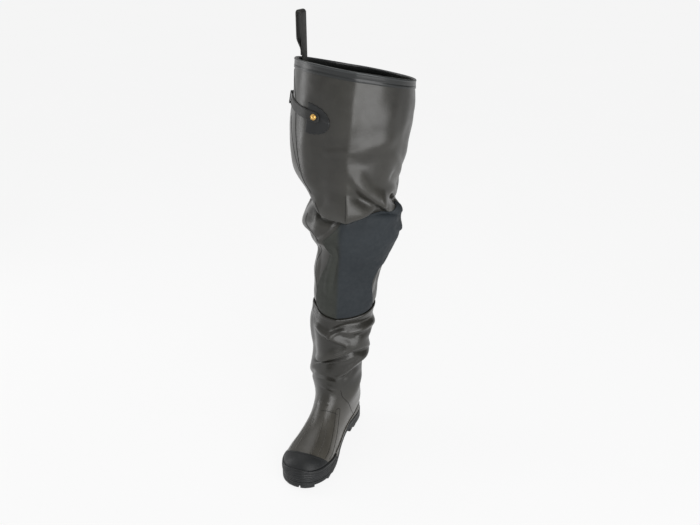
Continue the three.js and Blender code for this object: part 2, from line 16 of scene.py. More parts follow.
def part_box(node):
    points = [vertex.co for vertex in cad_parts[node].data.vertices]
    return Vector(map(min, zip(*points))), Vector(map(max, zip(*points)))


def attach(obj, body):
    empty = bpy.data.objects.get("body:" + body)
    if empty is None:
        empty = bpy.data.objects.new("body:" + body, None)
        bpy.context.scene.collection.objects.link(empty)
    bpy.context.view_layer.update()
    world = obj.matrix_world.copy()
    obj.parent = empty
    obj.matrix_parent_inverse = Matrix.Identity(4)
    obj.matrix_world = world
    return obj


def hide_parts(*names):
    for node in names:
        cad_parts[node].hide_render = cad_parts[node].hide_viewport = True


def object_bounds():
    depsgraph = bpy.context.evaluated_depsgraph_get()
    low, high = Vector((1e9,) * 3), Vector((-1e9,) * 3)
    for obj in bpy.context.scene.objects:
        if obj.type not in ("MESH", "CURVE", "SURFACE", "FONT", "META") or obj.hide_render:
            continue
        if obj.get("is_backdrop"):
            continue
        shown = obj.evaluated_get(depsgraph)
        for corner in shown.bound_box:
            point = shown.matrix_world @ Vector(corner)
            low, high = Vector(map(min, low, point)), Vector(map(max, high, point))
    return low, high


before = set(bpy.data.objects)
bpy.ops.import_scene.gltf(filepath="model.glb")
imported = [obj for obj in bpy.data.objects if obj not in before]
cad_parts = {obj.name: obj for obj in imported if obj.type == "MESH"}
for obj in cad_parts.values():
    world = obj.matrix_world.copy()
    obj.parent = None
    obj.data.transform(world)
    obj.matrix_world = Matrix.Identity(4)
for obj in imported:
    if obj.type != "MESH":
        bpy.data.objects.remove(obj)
cad_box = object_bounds()
print("solid pieces:", ", ".join(sorted(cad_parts)))


def add_object(name, data):
    """Puts data into the scene as an object of its own."""
    made = bpy.data.objects.new(name, data)
    bpy.context.scene.collection.objects.link(made)
    return made


# %% [markdown]
# The camera comes first, because every later choice is judged through it. A viewing angle can be set
# by eye or by a Track To constraint, but a place, a heading, a tilt and a roll are four numbers that
# can be compared with a picture. The wader is seen from in front and above, from its inner side. A
# small sideways shift of the lens centres it without turning the view.

# %% Camera
picture_width = 700
focal_pixels = 740
side_shift_pixels = 65
camera_place = (0.5325, -1.3363, 1.065)
camera_heading = 15.5
camera_tilt = 24.6
camera_roll = 2.0

lens = bpy.data.cameras.new("camera")
lens.sensor_width = 36
lens.lens = focal_pixels * lens.sensor_width / picture_width
lens.shift_x = -side_shift_pixels / picture_width
camera = add_object("camera", lens)
heading = Matrix.Rotation(math.radians(camera_heading), 4, "Z")
tilting = Matrix.Rotation(math.radians(90 - camera_tilt), 4, "X")
rolling = Matrix.Rotation(math.radians(camera_roll), 4, "Z")
camera.matrix_world = Matrix.Translation(camera_place) @ heading @ tilting @ rolling
bpy.context.scene.camera = camera
print("lens", round(lens.lens, 2), "mm")

# %% [markdown]
# ## The form of the last and the leg
# The wader is one long tube that swings from the toe round the heel and up the leg. It could be
# sculpted, or lofted from drawn curves. Here each section is a row of a short table, as in the solid
# model, so that the fine surface and the solid agree everywhere.

# %% Named sizes
sole_length = 0.300
ball_width = 0.110
instep_height = 0.120
heel_height = 0.028
fore_height = 0.014
toe_spring = 0.009
cleat_depth = 0.006
heel_breast = 0.084
waist_rise = 0.010
sole_edge = 0.0045
boot_height = 0.335
shaft_width = 0.114
leg_height = 0.835
thigh_width = 0.230
collar_drop = 0.036
collar_tilt = 0.013
leg_turn = math.radians(20)
leg_lean = 0.046
ankle_height = 0.100
lap_dip = 0.013
dip_reach = 0.060
leg_squareness = 2.15
foot_wall = 0.0024
leg_wall = 0.0015
gap = 0.0003
lap = 0.022
lap_run = 0.016
heel_setback = heel_breast / 2
leg_foot = np.array([-0.002, heel_setback - 0.293 * sole_length])
shaft_start = 1.87 * instep_height

# %% Tables of sections
# Foot: lengths forward from the back of the sole, heights and widths, as shares of the sole's length,
# the instep's height and the ball's width, and how square the upper and lower halves are.
#  mid u, mid z, top u, top z, low u, low z, outer, inner, top, low
foot_rows = [
    (0.972, 0.285, 0.972, 0.345, 0.972, 0.225, 0.085, 0.11, 2, 2),
    (0.962, 0.285, 0.957, 0.42, 0.962, 0.185, 0.205, 0.2, 2, 2.3),
    (0.94, 0.28, 0.93, 0.475, 0.938, 0.16, 0.305, 0.268, 2.1, 2.8),
    (0.892, 0.265, 0.882, 0.515, 0.892, 0.142, 0.405, 0.348, 2.2, 3.4),
    (0.82, 0.252, 0.812, 0.545, 0.82, 0.128, 0.468, 0.4, 2.2, 4),
    (0.728, 0.245, 0.728, 0.59, 0.728, 0.1205, 0.485, 0.412, 2.1, 4),
    (0.64, 0.265, 0.648, 0.665, 0.63, 0.1205, 0.455, 0.385, 2, 4),
    (0.55, 0.315, 0.578, 0.765, 0.52, 0.134, 0.415, 0.36, 2, 4),
    (0.46, 0.385, 0.53, 0.87, 0.41, 0.178, 0.385, 0.335, 2, 4),
    (0.378, 0.465, 0.498, 0.965, 0.302, 0.226, 0.38, 0.338, 2, 4),
    (0.312, 0.55, 0.48, 1.055, 0.19, 0.2365, 0.39, 0.355, 2, 3.6),
    (0.274, 0.64, 0.467, 1.145, 0.082, 0.2375, 0.405, 0.375, 2, 3),
    (0.26, 0.73, 0.461, 1.235, 0.021, 0.3, 0.425, 0.405, 2, 2.5),
    (0.257, 0.845, 0.461, 1.335, 0.012, 0.46, 0.445, 0.43, 2, 2.3),
    (0.262, 0.98, 0.464, 1.435, 0.03, 0.69, 0.46, 0.445, 2, 2.2),
    (0.274, 1.14, 0.467, 1.535, 0.06, 0.91, 0.475, 0.46, 2, 2.1),
    (0.287, 1.34, 0.471, 1.635, 0.08, 1.14, 0.49, 0.48, 2, 2),
    (0.292, 1.56, 0.477, 1.735, 0.086, 1.39, 0.492, 0.512, 2, 2),
]
# Shaft: height as a share of the way from instep to top edge, half widths as shares of its width.
#  height, outer, inner, front, back
shaft_rows = [
    (0, 0.49, 0.575, 0.525, 0.545),
    (0.23, 0.525, 0.565, 0.55, 0.56),
    (0.605, 0.545, 0.64, 0.55, 0.595),
    (0.82, 0.515, 0.63, 0.53, 0.615),
    (1.0, 0.5, 0.645, 0.525, 0.63),
]
# Leg: height as a share of the leg above the boot, half widths as shares of the last column.
#  height, outer, inner, front, back, width
leg_rows = [
    (0.05, 0.5, 0.655, 0.53, 0.64, shaft_width),
    (0.11, 0.49, 0.675, 0.545, 0.665, shaft_width),
    (0.165, 0.5, 0.72, 0.57, 0.66, shaft_width),
    (0.21, 0.475, 0.76, 0.605, 0.64, shaft_width),
    (0.245, 0.455, 0.835, 0.65, 0.63, shaft_width),
    (0.285, 0.228, 0.452, 0.348, 0.32, thigh_width),
    (0.315, 0.285, 0.478, 0.366, 0.355, thigh_width),
    (0.35, 0.35, 0.478, 0.39, 0.4, thigh_width),
    (0.39, 0.36, 0.475, 0.4, 0.418, thigh_width),
    (0.425, 0.335, 0.473, 0.405, 0.4, thigh_width),
    (0.455, 0.287, 0.427, 0.412, 0.36, thigh_width),
    (0.477, 0.298, 0.424, 0.446, 0.342, thigh_width),
    (0.505, 0.322, 0.432, 0.466, 0.342, thigh_width),
    (0.535, 0.37, 0.442, 0.47, 0.366, thigh_width),
    (0.565, 0.422, 0.44, 0.468, 0.398, thigh_width),
    (0.605, 0.463, 0.45, 0.468, 0.436, thigh_width),
    (0.67, 0.492, 0.474, 0.47, 0.466, thigh_width),
    (0.75, 0.502, 0.498, 0.476, 0.486, thigh_width),
    (0.83, 0.49, 0.522, 0.48, 0.494, thigh_width),
    (1.0, 0.462, 0.488, 0.466, 0.48, thigh_width),
]
# Sole outline: distance from the back as a share of its length, half widths as shares of the ball's.
#  u, outer, inner
outline_rows = [
    (0.0, 0.09, 0.09),
    (0.012, 0.19, 0.19),
    (0.04, 0.275, 0.27),
    (0.09, 0.335, 0.325),
    (0.16, 0.355, 0.345),
    (0.27, 0.358, 0.32),
    (0.38, 0.37, 0.302),
    (0.49, 0.415, 0.33),
    (0.6, 0.475, 0.398),
    (0.7, 0.518, 0.447),
    (0.78, 0.518, 0.45),
    (0.86, 0.47, 0.412),
    (0.92, 0.385, 0.343),
    (0.96, 0.285, 0.265),
    (0.985, 0.18, 0.185),
    (1.0, 0.06, 0.1),
]
print(len(foot_rows), "foot,", len(shaft_rows), "shaft and", len(leg_rows), "leg sections")


# %% Reading a table smoothly
def table(rows):
    """A smooth curve through the rows, read at any values of the first column."""
    rows = np.array(rows, float)
    places, values = rows[:, 0], rows[:, 1:]
    slopes = np.diff(values, axis=0) / np.diff(places)[:, None]
    tangents = np.vstack([slopes[:1], (slopes[1:] + slopes[:-1]) / 2, slopes[-1:]])

    def read(x):
        x = np.clip(np.asarray(x, float), places[0], places[-1])
        i = np.clip(np.searchsorted(places, x, side="right") - 1, 0, len(places) - 2)
        step = (places[i + 1] - places[i])[..., None]
        p = (x - places[i])[..., None] / step
        start = (2 * p**3 - 3 * p**2 + 1) * values[i] + (p**3 - 2 * p**2 + p) * step * tangents[i]
        end = (3 * p**2 - 2 * p**3) * values[i + 1] + (p**3 - p**2) * step * tangents[i + 1]
        return start + end

    return read


def ease(low, high, x):
    t = np.clip((np.asarray(x, float) - low) / (high - low), 0, 1)
    return t * t * (3 - 2 * t)


# %% Heights along the sole
outline = table(outline_rows)


def spring(u):
    return toe_spring * np.maximum(0, (u / sole_length - 0.76) / 0.24) ** 2


def foot_bed(u):
    drop = (fore_height - heel_height) * ease(0.26, 0.6, u / sole_length)
    return heel_height + drop + spring(u)


def waist(u):
    return waist_rise * (1 - ease(0.3, 0.5, u / sole_length)) * ease(heel_breast, heel_breast + 0.003, u)


print("foot bed from", round(float(foot_bed(0)), 3), "to", round(float(foot_bed(sole_length)), 3))


# %% The leg's line, and sections along it
def turn_at(height):
    return leg_turn * ease(ankle_height, boot_height * 0.75, height)


def leg_line(height):
    lean = leg_lean * (height - ankle_height) / (leg_height - ankle_height)
    turn = turn_at(height)
    return np.array([leg_foot[0] + lean * np.cos(turn), leg_foot[1] + lean * np.sin(turn), height])


def leg_station(height, outer, inner, front, back):
    turn = turn_at(height)
    side = np.array([np.cos(turn), np.sin(turn), 0])
    ahead = np.array([np.sin(turn), -np.cos(turn), 0])
    reaches = [ahead * front, -ahead * back, -side * outer, side * inner]
    return [height, *leg_line(height), *np.concatenate(reaches), leg_squareness, leg_squareness]


def foot_station(row):
    mid_u, mid_z, top_u, top_z, low_u, low_z, outer, inner, top_power, low_power = row

    def at(u, z):
        return np.array([0, heel_setback - u * sole_length, z * instep_height])

    mid = at(mid_u, mid_z)
    low = at(low_u, low_z)
    if low_z < 0.25:
        low[2] = foot_bed(low_u * sole_length) + gap
    width = ball_width + (shaft_width - ball_width) * ease(0.6, 1.56, mid_z)
    turn = float(turn_at(mid[2]))
    turning = np.array(Matrix.Rotation(turn, 3, "Z"))
    lean = np.array([leg_line(mid[2])[0] * ease(0.5 * ankle_height, 2 * ankle_height, mid[2]), 0, 0])
    pivot = np.array([*leg_foot, 0])
    middle = turning @ (mid - pivot) + pivot + lean
    reaches = [at(top_u, top_z) - mid, low - mid, (-outer * width, 0, 0), (inner * width, 0, 0)]
    turned = [turning @ np.array(reach) for reach in reaches]
    return [0, *middle, *np.concatenate(turned), top_power, low_power]


# %% One table of sections from toe to collar
stations = [
    leg_station(shaft_start + share * (boot_height - shaft_start), *[half * shaft_width for half in halves])
    for share, *halves in shaft_rows
]
stations += [
    leg_station(boot_height + share * (leg_height - boot_height), *[half * width for half in halves])
    for share, *halves, width in leg_rows
]


def key_points(station):
    middle, top, low = np.array(station[1:10]).reshape(3, 3)
    return np.array([middle, middle + top, middle + low])


following = stations[0]
for row in reversed(foot_rows):
    station = foot_station(row)
    moves = np.linalg.norm(key_points(station) - key_points(following), axis=1)
    station[0] = following[0] - moves.mean()
    stations.insert(0, station)
    following = station
section = table(stations)
toe_travel = stations[0][0]
print("travel runs from", round(toe_travel, 3), "at the toe to", leg_height, "at the collar")


# %% A point of the plain outer face
def face_point(travel, angle):
    """A travel along the wader, and an angle round it: 0 inner side, 90 front, 180 outside, 270 behind."""
    travel, angle = np.broadcast_arrays(np.asarray(travel, float), np.asarray(angle, float))
    values = section(np.minimum(travel, leg_height))
    cos, sin = np.cos(np.radians(angle)), np.sin(np.radians(angle))
    power = 2 / np.where(sin >= 0, values[..., 15], values[..., 16])
    across = np.where((cos >= 0)[..., None], values[..., 12:15], values[..., 9:12])
    along = np.where((sin >= 0)[..., None], values[..., 3:6], values[..., 6:9])
    point = values[..., 0:3] + across * (np.abs(cos) ** power)[..., None]
    point += along * (np.abs(sin) ** power)[..., None]
    dip = np.exp(-(((travel - boot_height) / dip_reach) ** 2)) * np.maximum(0, sin) ** 2
    slant = ease(0.8 * leg_height, leg_height, travel)
    point[..., 2] += -lap_dip * dip - slant * (collar_drop * (0.5 + 0.5 * cos) - collar_tilt * sin)
    point[..., 2] += np.maximum(travel - leg_height, 0)
    return point


def across_surface(surface, travel, angle):
    """Outward directions of a surface, from small steps along it and round it."""
    step, turn = 0.0006, 0.5
    up = surface(travel + step, angle) - surface(np.maximum(travel - step, toe_travel), angle)
    round_it = surface(travel, angle + turn) - surface(travel, angle - turn)
    normal = np.cross(up, round_it)
    return normal / np.maximum(np.linalg.norm(normal, axis=-1, keepdims=True), 1e-12)


def mean_reach(station):
    outer, inner = np.array(station[10:16]).reshape(2, 3)
    return (np.linalg.norm(outer) + np.linalg.norm(inner)) / 2


girth_radius = table([[station[0], mean_reach(station)] for station in stations])
print("the thigh is about", round(2 * float(girth_radius(0.7)[0]), 3), "wide")

# %% [markdown]
# ## Folds and creases
# A slack leg that has been worn keeps its folds. They could come from a cloth simulation, but then
# they would fall where the solver likes. They could be sculpted, but a script can't hold a hand. So
# every fold is one row here: its kind, how far it rises and how wide it is in millimetres, and a few
# points of its path, as degrees round from the front (the inner side counts up) and millimetres along
# the leg. Outer ends come first, so that above lies on the left of the path. A swell is a soft ridge
# or, sunk, a trough. A crease is a narrow ridge with a sharp crest. A press is the line left by
# pressing the leg flat, with a flat facet on either side. A roll hangs over on its lower side.

# %% The fold table
#  kind, rise, width, path
folds = [
    # The pressed crease down the front
    ("press", 6.4, 64, [(2, 940), (1, 760), (-1, 690), (0, 620), (1, 566), (0, 500)]),
    ("press", 4.0, 34, [(1, 640), (1, 566), (-3, 500), (-4, 440), (-6, 345), (-7, 280)]),
    # Thigh
    ("swell", -4.0, 32, [(50, 750), (84, 754), (118, 758), (152, 758)]),
    ("swell", 4.2, 26, [(62, 668), (90, 664), (118, 662), (150, 662)]),
    ("swell", 3.2, 17, [(-2, 686), (22, 702), (52, 716)]),
    ("crease", 1.3, 9, [(-24, 684), (-8, 690), (8, 692)]),
    ("roll", 7.5, 17, [(-3, 664), (8, 638), (20, 614), (36, 594), (52, 578)]),
    ("swell", -6.5, 11, [(2, 622), (18, 592), (36, 577), (52, 570)]),
    ("swell", 3.0, 20, [(-40, 760), (-43, 700), (-47, 640), (-46, 590)]),
    ("swell", -2.5, 15, [(-24, 740), (-24, 680), (-27, 620), (-30, 580)]),
    ("crease", 2.2, 12, [(30, 690), (52, 668), (72, 640), (88, 606)]),
    ("swell", -3.5, 13, [(48, 640), (66, 618), (84, 596)]),
    # The roll where the thigh hangs over the knee, and the pocket at its inner end
    ("swell", -3.0, 15, [(-40, 622), (-12, 612), (4, 606), (22, 598), (34, 592)]),
    ("roll", 8.0, 13, [(-72, 600), (-50, 588), (-41, 571), (-20, 564), (2, 571), (24, 576), (44, 576)]),
    ("swell", -7.5, 6.5, [(-84, 575), (-60, 568), (-42, 554), (-20, 549), (0, 555), (12, 560)]),
    ("swell", -3.6, 5, [(2, 560), (28, 562), (56, 556), (84, 538)]),
    ("roll", 7.0, 10, [(34, 612), (42, 586), (54, 568), (74, 553), (96, 545)]),
    ("swell", -8.5, 8, [(54, 600), (64, 582), (76, 570), (92, 564)]),
    # Knee and shin, outer half
    ("swell", -4.0, 17, [(-112, 546), (-88, 546), (-66, 546), (-46, 550)]),
    ("crease", 4.2, 10, [(6, 566), (-6, 550), (-17, 524), (-34, 504), (-52, 498)]),
    ("crease", 4.0, 11, [(-44, 512), (-26, 491), (-16, 474), (-20, 440), (-24, 400), (-22, 366)]),
    ("swell", -3.0, 10, [(-10, 520), (-11, 480), (-13, 440), (-14, 392)]),
    ("roll", 1.5, 12, [(-110, 512), (-84, 520), (-64, 528), (-44, 540)]),
    ("swell", -4.5, 8, [(-100, 496), (-76, 503), (-56, 508), (-38, 506)]),
    ("crease", 3.0, 12, [(-70, 494), (-62, 460), (-58, 420), (-62, 372)]),
    # Knee and shin, inner half
    ("roll", 5.0, 12, [(66, 520), (88, 508), (112, 506), (134, 512)]),
    ("crease", 3.4, 12, [(46, 452), (60, 440), (84, 446), (108, 458)]),
    ("crease", 3.2, 11, [(62, 438), (54, 404), (50, 372), (56, 342)]),
    ("swell", -3.0, 10, [(74, 424), (70, 396), (78, 366)]),
    # Back of the knee and calf
    ("roll", 8.0, 15, [(104, 548), (142, 532), (180, 526), (218, 532), (258, 552)]),
    ("swell", -8.0, 10, [(108, 520), (146, 508), (180, 503), (216, 508), (254, 522)]),
    ("roll", 7.0, 14, [(104, 492), (142, 482), (180, 476), (220, 484), (256, 496)]),
    ("swell", -6.5, 10, [(110, 470), (148, 460), (180, 456), (216, 460), (250, 470)]),
    ("swell", 3.5, 17, [(118, 428), (160, 414), (202, 416), (242, 430)]),
    ("crease", 3.0, 12, [(124, 374), (164, 388), (206, 384), (240, 366)]),
    ("swell", 2.6, 24, [(128, 704), (180, 690), (232, 706)]),
    ("crease", 2.2, 14, [(120, 640), (160, 622), (200, 626), (238, 644)]),
    # Slack top of the boot: a star of ridges, and the roll that hangs over the shaft
    ("crease", 4.2, 10, [(-104, 334), (-62, 308), (-38, 300), (-15, 291)]),
    ("crease", 3.6, 7, [(-20, 287), (-12, 296), (0, 304), (12, 307)]),
    ("roll", 6.5, 9, [(-30, 299), (-15, 292), (-2, 282), (12, 270), (17, 256)]),
    ("swell", -1.8, 12, [(-26, 276), (-12, 270), (0, 260), (8, 248)]),
    ("swell", -5.0, 7, [(-20, 295), (-6, 310), (12, 319), (38, 315), (64, 308), (96, 303)]),
    ("swell", 4.2, 8, [(-2, 301), (20, 300), (54, 297), (84, 292), (112, 292)]),
    ("swell", -3.4, 8, [(20, 285), (46, 285), (80, 283)]),
    ("swell", 2.2, 9, [(14, 268), (36, 271), (60, 272), (92, 276)]),
    ("swell", -7.0, 24, [(-72, 372), (-70, 320), (-68, 262), (-66, 215), (-66, 170)]),
    ("roll", 7.0, 12, [(-78, 206), (-48, 215), (-20, 233), (5, 247),
                       (30, 257), (60, 251), (88, 236), (126, 234)]),
    ("swell", -6.5, 8, [(-74, 196), (-44, 203), (-18, 219), (6, 231), (32, 240), (62, 232), (96, 218)]),
    ("roll", 6.5, 14, [(112, 262), (150, 250), (184, 246), (220, 250), (252, 262)]),
    ("swell", -6.0, 9, [(112, 243), (150, 231), (184, 227), (220, 231), (250, 243)]),
    ("crease", 3.2, 12, [(116, 300), (150, 292), (186, 296), (222, 290), (250, 300)]),
    # Shaft and ankle: two slanting ridges on the inner side, and fine wrinkles across the front
    ("swell", 5.5, 11, [(14, 120), (34, 160), (44, 190), (56, 212), (84, 222), (114, 224)]),
    ("swell", -6.5, 8, [(30, 112), (42, 138), (52, 163), (68, 178), (92, 187), (116, 192)]),
    ("swell", 5.0, 10, [(120, 176), (94, 152), (78, 118), (66, 82), (60, 50)]),
    ("swell", 0.9, 13, [(-110, 160), (-80, 160), (-58, 164), (-34, 174)]),
    ("swell", -2.4, 10, [(-110, 144), (-80, 142), (-54, 144), (-30, 154)]),
    ("swell", 0.9, 6, [(-26, 140), (6, 134), (34, 124)]),
    ("swell", -1.1, 7, [(-34, 122), (-10, 116), (10, 114), (30, 116)]),
    ("roll", 1.3, 5, [(-22, 92), (2, 87), (18, 84), (36, 88)]),
    ("roll", 1.2, 5, [(-16, 33), (3, 28), (22, 30)]),
    ("roll", 4.0, 11, [(128, 196), (160, 190), (196, 190), (232, 197)]),
    ("swell", -3.6, 8, [(130, 180), (162, 174), (196, 174), (230, 181)]),
]
print(len(folds), "folds placed by hand")


# %% How far a fold lifts the skin
roll_hang = 0.6
wide_reach = 2.6
end_fade = 0.25


def profile(kind, x):
    """Height of a fold at x widths from its line, above counted up, and how far it hangs down."""
    if kind == "swell":
        return np.exp(-(x**2)), 0 * x
    if kind == "press":
        return np.maximum(0, 1.02 - np.sqrt(x**2 + 0.0004)) ** 3, 0 * x
    if kind == "crease":
        tent = np.maximum(0, 1.12 - np.sqrt(x**2 + 0.0144))
        round_top = np.minimum(tent, 1)
        return tent * (0.5 + 0.5 * round_top * (3 - 2 * round_top)), 0 * x
    over = np.where(x > 0, np.exp(-(x**2)), np.exp(-((x / 0.5) ** 2)))
    return over, roll_hang * np.exp(-(((x + 0.15) / 0.6) ** 2))


def fold_field(travel, angle):
    """Lift and drop of the skin, in metres, summed over all the folds."""
    radius = girth_radius(travel)[..., 0]
    lift, drop = np.zeros(travel.shape), np.zeros(travel.shape)
    for kind, rise, width, path in folds:
        rise, width = rise / 1000, width / 1000
        reader = table([[i, around, along / 1000] for i, (around, along) in enumerate(path)])
        samples = reader(np.linspace(0, len(path) - 1, 7 * (len(path) - 1) + 1))
        middle = samples[:, 0].mean()
        around = (90 - angle - middle + 180) % 360 - 180 + middle
        line = np.stack([np.radians(samples[:, 0]) * girth_radius(samples[:, 1])[:, 0], samples[:, 1]], -1)
        flat = np.stack([np.radians(around) * radius, travel], -1)
        border = wide_reach * width
        near = np.all((flat > line.min(0) - border) & (flat < line.max(0) + border), axis=-1)
        if not near.any():
            continue
        start, run = line[:-1], np.diff(line, axis=0)
        offset = flat[near][:, None] - start
        share = np.clip((offset * run).sum(-1) / (run**2).sum(-1), 0, 1)
        away = np.linalg.norm(offset - share[..., None] * run, axis=-1)
        best = away.argmin(1)
        pick = np.arange(len(best))
        cross = run[best, 0] * offset[pick, best, 1] - run[best, 1] * offset[pick, best, 0]
        along = (best + share[pick, best]) / len(run)
        fade = ease(0, end_fade, along) * ease(0, end_fade, 1 - along)
        up, down = profile(kind, np.sign(cross) * away[pick, best] / width)
        lift[near] += rise * fade * up
        drop[near] += rise * fade * down
    return lift, drop


# %% A gentle unevenness everywhere
wave_seed = np.random.default_rng(11)
wave_count = 14
wave_ways = wave_seed.normal(size=(wave_count, 3))
wave_ways /= np.linalg.norm(wave_ways, axis=1)[:, None]
wave_lengths = wave_seed.uniform(0.035, 0.11, wave_count)
wave_starts = wave_seed.uniform(0, 2 * np.pi, wave_count)
wave_rise = 0.0011


def unevenness(points):
    phase = points @ (wave_ways / wave_lengths[:, None]).T * 2 * np.pi + wave_starts
    return wave_rise * (np.sin(phase) * wave_lengths / 0.07).sum(-1) / math.sqrt(wave_count)


def worn_skin(travel, angle):
    """The outer face with its folds, and how far each point stands out of the plain form."""
    travel, angle = np.broadcast_arrays(np.asarray(travel, float), np.asarray(angle, float))
    point = face_point(travel, angle)
    outward = across_surface(face_point, travel, angle)
    lift, drop = fold_field(travel, angle)
    slack = ease(-0.02, 0.16, travel) * (1 - 0.7 * ease(leg_height - 0.06, leg_height - 0.015, travel))
    lift = lift + slack * unevenness(point)
    point = point + outward * lift[..., None]
    point[..., 2] -= drop
    return point, lift


# %% [markdown]
# ## Meshes from grids
# Rubber sheet has two faces and an edge. A Solidify modifier could give it a wall, but where folds are
# tight the inner wall would cross itself, and the join of leg and boot needs its own offset. Two grids
# of points and the band between their rims are simple, exact and always closed.

# %% Mesh helpers
root = "root"


def make_piece(name, points, faces, materials, stands_for=(), smooth=True, picks=None):
    """One finished piece: a mesh at the origin that rides with the wader."""
    mesh = bpy.data.meshes.new(name)
    mesh.from_pydata([tuple(p) for p in points], [], [tuple(f) for f in faces])
    for material in materials:
        mesh.materials.append(material)
    mesh.polygons.foreach_set("use_smooth", [smooth] * len(mesh.polygons))
    if picks is not None:
        mesh.polygons.foreach_set("material_index", picks)
    mesh.update()
    piece = add_object(name, mesh)
    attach(piece, root)
    if stands_for:
        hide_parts(*stands_for)
    triangles = sum(len(p.vertices) - 2 for p in mesh.polygons)
    print(name, triangles, "triangles")
    return piece


def give_attribute(piece, name, values):
    attribute = piece.data.attributes.new(name, "FLOAT", "POINT")
    attribute.data.foreach_set("value", np.asarray(values, np.float32))


def grid_faces(rows, columns, first=0, wrap=True, flip=False):
    """Quads of a grid whose points are numbered row by row. With wrap, the columns close into a ring."""
    i, j = np.meshgrid(np.arange(rows - 1), np.arange(columns if wrap else columns - 1), indexing="ij")
    k = (j + 1) % columns
    quads = np.stack([i * columns + j, (i + 1) * columns + j, (i + 1) * columns + k, i * columns + k], -1)
    quads = quads.reshape(-1, 4) + first
    return quads[:, ::-1] if flip else quads


def swept_faces(steps, count, first=0):
    """Faces of a closed section carried along a path, with both ends capped."""
    faces = [tuple(face) for face in grid_faces(steps, count, first)]
    faces.append(tuple(first + j for j in range(count)))
    faces.append(tuple(first + (steps - 1) * count + j for j in range(count))[::-1])
    return faces


def rounded_section(low, high, out_low, out_high, corner, steps):
    """Points round a rounded rectangle of places across and distances out."""
    points = []
    for turn, (x, y) in enumerate([(high, out_high), (low, out_high), (low, out_low), (high, out_low)]):
        middle = (x + (corner if x == low else -corner), y + (corner if y == out_low else -corner))
        for step in range(steps + 1):
            a = math.radians(90 * (turn + step / steps))
            points.append((middle[0] + corner * math.cos(a), middle[1] + corner * math.sin(a)))
    return np.array(points)


def rim_faces(fine, coarse, flip=False):
    """Triangles between a ring of point numbers and another with half as many."""
    faces = []
    count = len(fine)
    for j in range(len(coarse)):
        a, b, c = fine[2 * j], fine[2 * j + 1], fine[(2 * j + 2) % count]
        p, q = coarse[j], coarse[(j + 1) % len(coarse)]
        faces += [(a, b, p), (b, q, p), (b, c, q)]
    return [face[::-1] for face in faces] if flip else faces


def grid_normals(points):
    """Outward directions of a grid that closes round its columns."""
    up = np.gradient(points, axis=0)
    round_it = np.roll(points, -1, axis=1) - np.roll(points, 1, axis=1)
    normal = np.cross(up, round_it)
    return normal / np.maximum(np.linalg.norm(normal, axis=-1, keepdims=True), 1e-12)


def sampler(travels, points, normals):
    """Reads a grid between its points, so that a trim lies on the very facets that it covers."""
    columns = points.shape[1]

    def place(travel, angle, out=0.0):
        travel, angle, out = np.broadcast_arrays(*[np.asarray(v, float) for v in (travel, angle, out)])
        row = np.interp(travel, travels, np.arange(len(travels)))
        i = np.clip(row.astype(int), 0, len(travels) - 2)
        p = (row - i)[..., None]
        column = (angle % 360) / 360 * columns
        j = column.astype(int) % columns
        q = (column - np.floor(column))[..., None]
        k = (j + 1) % columns

        def read(values):
            return (1 - p) * ((1 - q) * values[i, j] + q * values[i, k]) + p * (
                (1 - q) * values[i + 1, j] + q * values[i + 1, k]
            )

        normal = read(normals)
        normal /= np.maximum(np.linalg.norm(normal, axis=-1, keepdims=True), 1e-12)
        return read(points) + normal * out[..., None]

    return place


def tube_piece(name, outer, inner, materials, stands_for, lift, closed_start=False):
    """A tube from its outer grid and a coarser inner grid, joined at its ends."""
    rows, columns = outer.shape[:2]
    inner_rows, inner_columns = inner.shape[:2]
    points = [*outer.reshape(-1, 3), *inner.reshape(-1, 3)]
    first = rows * columns
    outside = grid_faces(rows, columns)
    inside = grid_faces(inner_rows, inner_columns, first, flip=True)
    top_ring = np.arange((rows - 1) * columns, rows * columns)
    top_inner = first + np.arange((inner_rows - 1) * inner_columns, inner_rows * inner_columns)
    faces = [*outside, *inside]
    picks = [0] * len(outside) + [1] * len(inside)
    rims = rim_faces(top_ring, top_inner, flip=True)
    if closed_start:
        for grid, base, count, flip in ((outer, 0, columns, True), (inner, first, inner_columns, False)):
            points.append(grid[0].mean(0))
            fan = [(len(points) - 1, base + (j + 1) % count, base + j) for j in range(count)]
            rims += [face[::-1] for face in fan] if flip else fan
    else:
        rims += rim_faces(np.arange(columns), first + np.arange(inner_columns))
    faces += rims
    picks += [0] * len(rims)
    piece = make_piece(name, points, faces, materials, stands_for, picks=picks)
    values = np.zeros(len(points))
    values[:first] = lift.reshape(-1)
    give_attribute(piece, "lift", values * 1000)
    return piece

# %% [markdown]
# ## Finishes
# Every finish is made of nodes on the object's own coordinates, so that it needs no picture and no
# unwrapping. Rubber is never one flat colour: broad mottling comes from the mould, a fine grain breaks
# the gloss, and the crests of folds are rubbed a little paler and duller than the hollows.

# %% Node helpers
def linear(red, green, blue):
    """A colour as a screen shows it, 0 to 255, as the light that Blender works in."""
    values = [v / 255 for v in (red, green, blue)]
    return (*[v / 12.92 if v <= 0.04045 else ((v + 0.055) / 1.055) ** 2.4 for v in values], 1.0)


